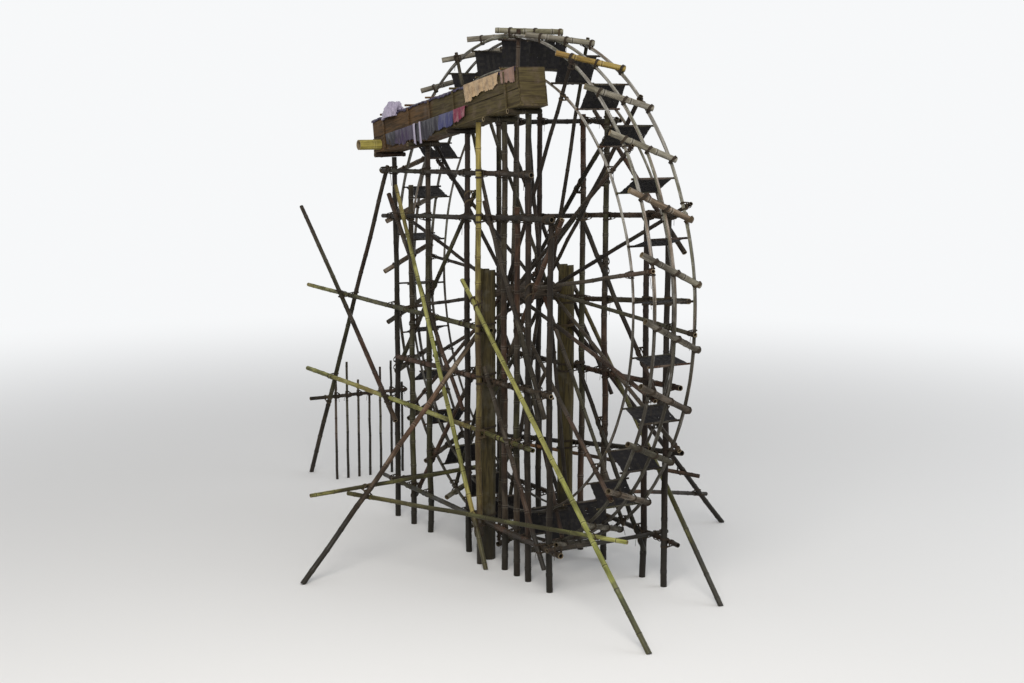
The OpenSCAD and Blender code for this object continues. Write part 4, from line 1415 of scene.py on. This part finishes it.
def hanging(t, path, ends, drop, folds, rng):
    """Cloth along a path of (x, height) to the outside, then down the trough's outer face.

    The hanging part stands out by its folds, ripples that deepen with the root of the depth, and
    its lower edge is ragged. Rows run along the trough and columns down the cloth.
    """
    y = np.linspace(*ends, int((ends[1] - ends[0]) / CLOTH_STEP))[:, None]
    corners = np.array(path)
    steps = path_lengths(corners)
    over = np.linspace(0, steps[-1], 14)
    depth = np.linspace(0, 1, 23)[None, 1:]
    fall = np.interp(y, np.linspace(*ends, len(drop)), drop)
    fall = fall * (1 + 0.06 * ripple(y, 0.23, rng) + 0.03 * ripple(y, 0.06, rng))
    slack = 0.35 + 0.65 * (0.5 + 0.5 * ripple(y, 0.6, rng))
    wide = 0.5 + 0.5 * ripple(y + 0.05 * depth, 0.15, rng)
    fine = (0.5 + 0.5 * ripple(y - 0.03 * depth, 0.052, rng)) * (0.5 + 0.5 * ripple(y, 0.31, rng))
    crease = ripple(y + 0.4 * depth, 0.09, rng) * ripple(y - 0.55 * depth, 0.13, rng)
    x = corners[-1, 0] - folds * slack * (np.sqrt(depth) * wide + 0.45 * depth * fine)
    x = x - 0.12 * folds * (1 + crease) * np.sin(np.pi * depth)
    over_x, over_z = (np.interp(over, steps, corners[:, k]) + 0 * y for k in range(2))
    x = np.concatenate([over_x, x], axis=1)
    z = np.concatenate([over_z, corners[-1, 1] - fall * depth], axis=1)
    run = np.concatenate([over + 0 * y, steps[-1] + fall * depth], axis=1)
    middle = (ends[0] + ends[1]) / 2
    along = middle + (y - middle) * (1 - 0.05 * np.clip(run - steps[-1], 0, 1) / fall)
    return on_trough(t, x, along, z), stacked(run, 0.0, y)


def lay_sheet(name, grid, mark, finish, slot, thickness, held, rests_on, replaced=(), kept=None):
    skin = Skin()
    skin.add_grid(grid, False, mark, kept=kept)
    piece = skin.make(name, palette(finish), FRAME_BODY, slot, replaced, 80)
    thick = piece.modifiers.new("Thickness", "SOLIDIFY")
    thick.thickness, thick.offset = thickness, 0.0
    down, along = (np.diff(grid, axis=k) for k in (1, 0))
    quads = np.cross(down[:-1] + down[1:], along[:, :-1] + along[:, 1:]) / 4
    area = float(np.linalg.norm(quads, axis=-1).sum())
    flat = [float(np.linalg.norm(step, axis=-1).sum(k).max()) for k, step in ((1, down), (0, along))]
    if held == "gathered":
        flat = [math.sqrt(area)] * 2
    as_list(rests_on)


class WHEEL_OT_lining(bpy.types.Operator):
    """Lay the plastic sheet in the trough and hang the sheets and rags on its outer wall"""

    bl_idname = "waterwheel.lining"
    bl_label = "Lining and cloths"

    def execute(self, context):
        t = trough_frame()
        b, h = t["board"], t["wall"]
        reach = reach_of("trough_patch", t["along"], t["corner"])
        patch = float(reach.min()), float(reach.max())
        self.lining(t, b, t["width"], h, t["length"], patch)
        self.cloths(t, b, h, patch)
        self.bunch(t, b, h)
        return {"FINISHED"}

    def lining(self, t, b, w, h, l, patch):
        """The sheet follows the trough's section; its free edge turns over the outer wall in waves."""
        rng = np.random.default_rng(1400)
        y = np.linspace(b + 0.005, l - b - 0.005, 220)[:, None]
        share = np.linspace(0, 1, 46)
        hang = 0.030 + 0.012 * ripple(y, 0.6, rng) + 0.006 * ripple(y, 0.13, rng)
        flutter = 0.006 * (1 + ripple(y, 0.09, rng)) * np.clip((y - patch[1] - 0.08) / 0.05, 0, 1)
        corners = np.array([
            (-0.008, h - OUTSIDE), (-0.008, h + 0.005), (b + 0.007, h + 0.005), (b + 0.009, 0.03),
            (b + 0.03, 0.008), (w - b - 0.03, 0.008), (w - b - 0.009, 0.03), (w - b - 0.008, h - 0.03)])
        steps = path_lengths(corners)
        run = OUTSIDE - hang + share * (steps[-1] - OUTSIDE + hang)
        _, bore, (spout_y, spout_z) = spout_place(t)
        middle = (steps[2] + h + 0.005 - spout_z, spout_y)
        run, y, kept = self.round_hole(run, y + 0 * run, middle, bore + 0.002)
        x, z = (np.interp(run, steps, corners[:, i]) for i in range(2))
        edge = np.clip((z - (h - 0.09)) / 0.09, 0, 1) * (x > b)
        x = x + flutter * (0.5 * edge - (share < 0.03))
        lay_sheet("lining_sheet", on_trough(t, x, y, z), stacked(run, 0.0, y), "lining_plastic",
                  "plastic_sheet", PLASTIC, "laid", ["trough_floor_boards"], ["trough_lining"], kept)

    def round_hole(self, u, v, middle, radius, rows=3, cols=2):
        """Draws a block of the grid's faces out to a circle, and says which faces are left.

        The block's edge goes on the circle, and the next lines ease back to their places.
        """
        at = np.unravel_index(np.argmin((u - middle[0]) ** 2 + (v - middle[1]) ** 2), u.shape)
        k, j = np.indices(u.shape)
        a, b = (k - at[0]) / rows, (j - at[1]) / cols
        ring, angle = np.maximum(np.abs(a), np.abs(b)), np.arctan2(a, b)
        ease = np.clip(ring - 1, 0, 1)
        u = u * ease + (middle[0] + radius * np.cos(angle)) * (1 - ease)
        v = v * ease + (middle[1] + radius * np.sin(angle)) * (1 - ease)
        outside = ring > 1
        return u, v, outside[:-1, :-1] | outside[1:, :-1] | outside[:-1, 1:] | outside[1:, 1:]

    def cloths(self, t, b, h, patch):
        """The sack cloth and a rag over the rim, and the sheet, rag and strips from the boards' joint.

        A row holds the name, path, two ends along the trough, drops, folds, finish, slot,
        thickness, how it is held and the node it replaces.
        """
        low, high = patch
        rim = [(b + 0.012, h - 0.11), (b + 0.012, h + 0.011), (-0.013, h + 0.012)]
        joint = [(b * 0.6, h * JOINT), (-0.024, h * JOINT + 0.001)]
        outer = [(b * 0.6, h * JOINT), (-0.042, h * JOINT + 0.003)]
        pieces = (
            ("trough_sack", rim, (low - 0.12, high + 0.06), (0.15, 0.19, 0.17, 0.22, 0.24), 0.022,
             "sack_cloth", "sack_cloth", 0.003, "draped", ["trough_patch"]),
            ("rim_rag", rim, (0.04, low - 0.16), (0.20, 0.16, 0.17), 0.014,
             "brown_rag", "sack_cloth", RAG, "draped", []),
            ("outer_sheet", joint, (1.72, 3.88), (0.20, 0.19, 0.20, 0.27, 0.28, 0.19, 0.24, 0.20, 0.17),
             0.024, "outer_plastic", "plastic_sheet", PLASTIC, "hung", []),
            ("red_rag", outer, (1.36, 1.70), (0.14, 0.17, 0.19), 0.022,
             "red_rag", "sack_cloth", RAG, "hung", []),
            ("torn_strip_1", outer, (2.70, 2.755), (0.29, 0.31), 0.012,
             "pale_plastic", "plastic_sheet", 0.0012, "hung", []),
            ("torn_strip_2", outer, (2.87, 2.94), (0.32, 0.27), 0.012,
             "pale_plastic", "plastic_sheet", 0.0012, "hung", []),
        )
        for index, (name, path, ends, drop, folds, *look, node) in enumerate(pieces):
            grid, mark = hanging(t, path, ends, drop, folds, np.random.default_rng(1410 + index))
            lay_sheet(name, grid, mark, *look, ["trough_outer_wall_boards"], node)

    def bunch(self, t, b, h):
        """Spare sheet gathered over the wall's upstream end: a low dome whose radius goes in folds.

        The dome's rows run from its crown to its hem, and it is longer along the wall than across.
        """
        rng = np.random.default_rng(1440)
        down, turn = np.linspace(0, 1, 44)[:, None], np.linspace(0, TURN, 200)[None, :]
        fold = sum(
            rng.uniform(3, 6) / (k + 4) * np.sin(k * turn + 1.6 * np.sin(k + 5 * down) + rng.uniform(0, 6.28))
            for k in (2, 5, 9, 14, 23)) / 1.6
        crease = sum(
            1 - 2 * np.abs(np.sin(k * down + m * turn + rng.uniform(0, 6.28)))
            for k, m in ((7, 2), (5, -3), (9, 4), (8, -5))) / 4
        loose = np.clip(down / 0.45, 0, 1) ** 1.5
        swell = np.sin(down * 0.56 * np.pi) ** 0.8 * (1 + loose * (0.20 * fold + 0.13 * crease))
        x = b / 2 + 0.11 * swell * np.cos(turn) + 0.03 * (1 - down)
        y = BUNCH_PLACE + 0.25 * swell * np.sin(turn) - 0.07 * (1 - down)
        crown = np.maximum(np.cos(down * 0.56 * np.pi), 0) ** 0.8
        lump = 0.22 * np.sin(2 * turn + 1) + 0.12 * np.sin(5 * turn + 4) + 0.16 * crease
        z = h + 0.155 * crown * (1 + loose * lump) + 0.03 * loose * fold * (1 - down)
        z = z - np.maximum(down - 0.88, 0) * 0.5
        over = np.abs(x - b / 2) < b / 2 + 0.012
        z = np.where(over, np.maximum(z, h + 0.016), z)
        grid = on_trough(t, x, y, z)
        grid[:, -1] = grid[:, 0]
        lay_sheet("bunched_sheet", grid, stacked(down * 0.3, 0.0, turn * 0.15), "pale_plastic",
                  "plastic_sheet", PLASTIC, "gathered", ["trough_outer_wall_boards", "lining_sheet"])


class WHEEL_OT_spout(bpy.types.Operator):
    """Set the delivery spout in the trough's outer wall"""

    bl_idname = "waterwheel.spout"
    bl_label = "Spout"

    def execute(self, context):
        rng = np.random.default_rng(1500)
        mouth, bore, _ = spout_place(trough_frame())
        low, high = corners_of("spout")
        radius, length = (high[2] - low[2]) / 2, high[0] - low[0]
        z, r, cut, knot = culm_profile(length, radius, rng, taper=0.0, hollow=False)
        z = np.concatenate([[0.0], z, [length, length, 0.0]])
        r = np.concatenate([[bore], np.minimum(r, radius), [radius * 0.99, bore, bore]])
        # The last row, inside the bore, takes a little painted shade
        cut = np.concatenate([[1.0], cut, [1.0, 1.0, -0.3]])
        knot = np.concatenate([[1.0], knot, [1.0, 1.0, 1.0]])
        line = np.array([high[0], mouth[1], mouth[2]]) - AXLE * z[:, None]
        skin = Skin()
        revolve(skin, line, (-1.0, 0.0, 0.0), r, 36, 0.1, cut, knot, z, rng.uniform(0, 40, 3),
                ends=(False, False))
        skin.make("spout_culm", palette("spout_bamboo"), FRAME_BODY, "yellow_bamboo", ["spout"])
        return {"FINISHED"}


def seen_rays(g):
    """One where the camera looks, straight or through a gloss or glass, and nought elsewhere."""
    path = g.add("ShaderNodeLightPath").outputs
    seen = g.math("MAXIMUM", path["Is Camera Ray"], path["Is Glossy Ray"])
    return g.math("MAXIMUM", seen, path["Is Transmission Ray"])


class WHEEL_OT_stage(bpy.types.Operator):
    """Lay the floor, hang the lights and set the camera"""

    bl_idname = "waterwheel.stage"
    bl_label = "Stage"

    def execute(self, context):
        s = sizes("stage_settings")
        scene = context.scene
        scene.view_settings.view_transform = "Standard"
        low, high = CAD_BOX
        centre = (low + high) / 2
        self.floor(s)
        self.world(scene)
        self.lamp("key", (-9, -12, 14), centre, s.key_power, 9.0, (1.0, 0.97, 0.92))
        self.lamp("fill", (14, -9, 9), centre, s.fill_power, 12.0, (0.92, 0.96, 1.0))
        place = np.array([HUB[0], HUB[1], 0.0]) + np.array(s.camera_place)
        aim, spread = self.framing(place, np.array(centre))
        camera = bpy.data.cameras.new("camera")
        camera.sensor_width, camera.clip_end = 36.0, 200
        camera.lens = s.fill * camera.sensor_width / spread
        eye = bpy.data.objects.new("camera", camera)
        scene.collection.objects.link(eye)
        eye.location = Vector(place)
        eye.rotation_euler = Vector(aim).to_track_quat("-Z", "Y").to_euler()
        scene.camera = eye
        return {"FINISHED"}

    def framing(self, place, target, shape=1024 / 683):
        """Aims at the middle of what the camera sees of the CAD, and measures its spread.

        Each corner is divided by its depth; the aim moves to the middle of their box three times.
        """
        away = np.concatenate([points_of(node.data) for node in frame["nodes"].values()]) - place
        aim = unit(target - place)
        for _ in range(3):
            right = unit(np.cross(aim, [0.0, 0.0, 1.0]))
            up = np.cross(right, aim)
            seen = np.stack([away @ right, away @ up], axis=1) / (away @ aim)[:, None]
            low, high = seen.min(0), seen.max(0)
            middle = (low + high) / 2
            aim = unit(aim + right * middle[0] + up * middle[1])
        return aim, max(high[0] - low[0], (high[1] - low[1]) * shape)

    def floor(self, s):
        """A wide disc, plain and pale, that fades into the background far from the wheel."""
        angle = circle(96)
        ring = stacked(FLOOR_RADIUS * np.cos(angle), FLOOR_RADIUS * np.sin(angle), 0.0)
        mesh = bpy.data.meshes.new("floor")
        mesh.from_pydata(ring.tolist(), [], [list(range(len(ring)))])
        material = bpy.data.materials.new("floor")
        material.use_nodes = True
        g = Graph(material.node_tree)
        place = g.add("ShaderNodeTexCoord").outputs["Object"]
        reach = g.add("ShaderNodeVectorMath", {0: place}, operation="LENGTH").outputs["Value"]
        far = g.ramp(reach, *FADE)
        near = g.add("ShaderNodeBsdfPrincipled", {"Base Color": (*s.floor_colour, 1), "Roughness": 0.9})
        white = g.add("ShaderNodeEmission", {"Color": (*BACKGROUND, 1), "Strength": 1.0})
        share = g.math("MULTIPLY", far, seen_rays(g))
        both = g.add("ShaderNodeMixShader", {0: share, 1: near.outputs[0], 2: white.outputs[0]})
        g.add("ShaderNodeOutputMaterial", {"Surface": both.outputs[0]})
        mesh.materials.append(material)
        floor = bpy.data.objects.new("floor", mesh)
        bpy.context.scene.collection.objects.link(floor)

    def world(self, scene):
        """A soft sky that lights the wheel, with the plain background where the camera looks."""
        world = bpy.data.worlds.new("world")
        scene.world = world
        world.use_nodes = True
        g = Graph(world.node_tree)
        soft = g.add("ShaderNodeBackground", {"Color": (0.95, 0.97, 1.0, 1), "Strength": 0.55})
        white = g.add("ShaderNodeBackground", {"Color": (*BACKGROUND, 1), "Strength": 1.0})
        both = g.add("ShaderNodeMixShader", {0: seen_rays(g), 1: soft.outputs[0], 2: white.outputs[0]})
        g.add("ShaderNodeOutputWorld", {"Surface": both.outputs[0]})

    def lamp(self, name, place, target, power, size, colour):
        """A square lamp that hangs at a place from the axle's middle and points at the target."""
        data = bpy.data.lights.new(name, "AREA")
        data.energy, data.size, data.color = power, size, colour
        lamp = bpy.data.objects.new(name, data)
        bpy.context.scene.collection.objects.link(lamp)
        lamp.location = Vector((0, HUB[1], 0)) + Vector(place)
        lamp.rotation_euler = (target - lamp.location).to_track_quat("-Z", "Y").to_euler()


OPERATORS = (
    WHEEL_OT_stage,
    WHEEL_OT_frame_poles,
    WHEEL_OT_bearing_posts,
    WHEEL_OT_frame_lashings,
    WHEEL_OT_rims,
    WHEEL_OT_spokes,
    WHEEL_OT_axle,
    WHEEL_OT_tubes,
    WHEEL_OT_paddles,
    WHEEL_OT_wheel_lashings,
    WHEEL_OT_trough,
    WHEEL_OT_lining,
    WHEEL_OT_spout,
)
SETTINGS = {
    "culm_sizes": CulmSizes,
    "rope_sizes": RopeSizes,
    "mat_sizes": MatSizes,
    "finish_colours": FinishColours,
    "stage_settings": StageSettings,
}


class WHEEL_PT_panel(bpy.types.Panel):
    """Settings and pieces of the water wheel"""

    bl_label = "Water wheel"
    bl_space_type = "VIEW_3D"
    bl_region_type = "UI"
    bl_category = "Water wheel"

    def draw(self, context):
        for name, group in SETTINGS.items():
            box = self.layout.box()
            for key in group.__annotations__:
                box.prop(getattr(context.scene, name), key)
        for operator in OPERATORS:
            self.layout.operator(operator.bl_idname)


def register():
    """Adds the settings, the operators and the panel."""
    for kind in (*SETTINGS.values(), *OPERATORS, WHEEL_PT_panel):
        bpy.utils.register_class(kind)
    for name, group in SETTINGS.items():
        setattr(bpy.types.Scene, name, PointerProperty(type=group))


def unregister():
    """Takes them away again, the last one first."""
    for name in SETTINGS:
        delattr(bpy.types.Scene, name)
    for kind in reversed((*SETTINGS.values(), *OPERATORS, WHEEL_PT_panel)):
        bpy.utils.unregister_class(kind)


def main():
    """Builds every piece in turn."""
    register()
    for operator in OPERATORS:
        family, name = operator.bl_idname.split(".")
        getattr(getattr(bpy.ops, family), name)()


if __name__ == "__main__":
    main()
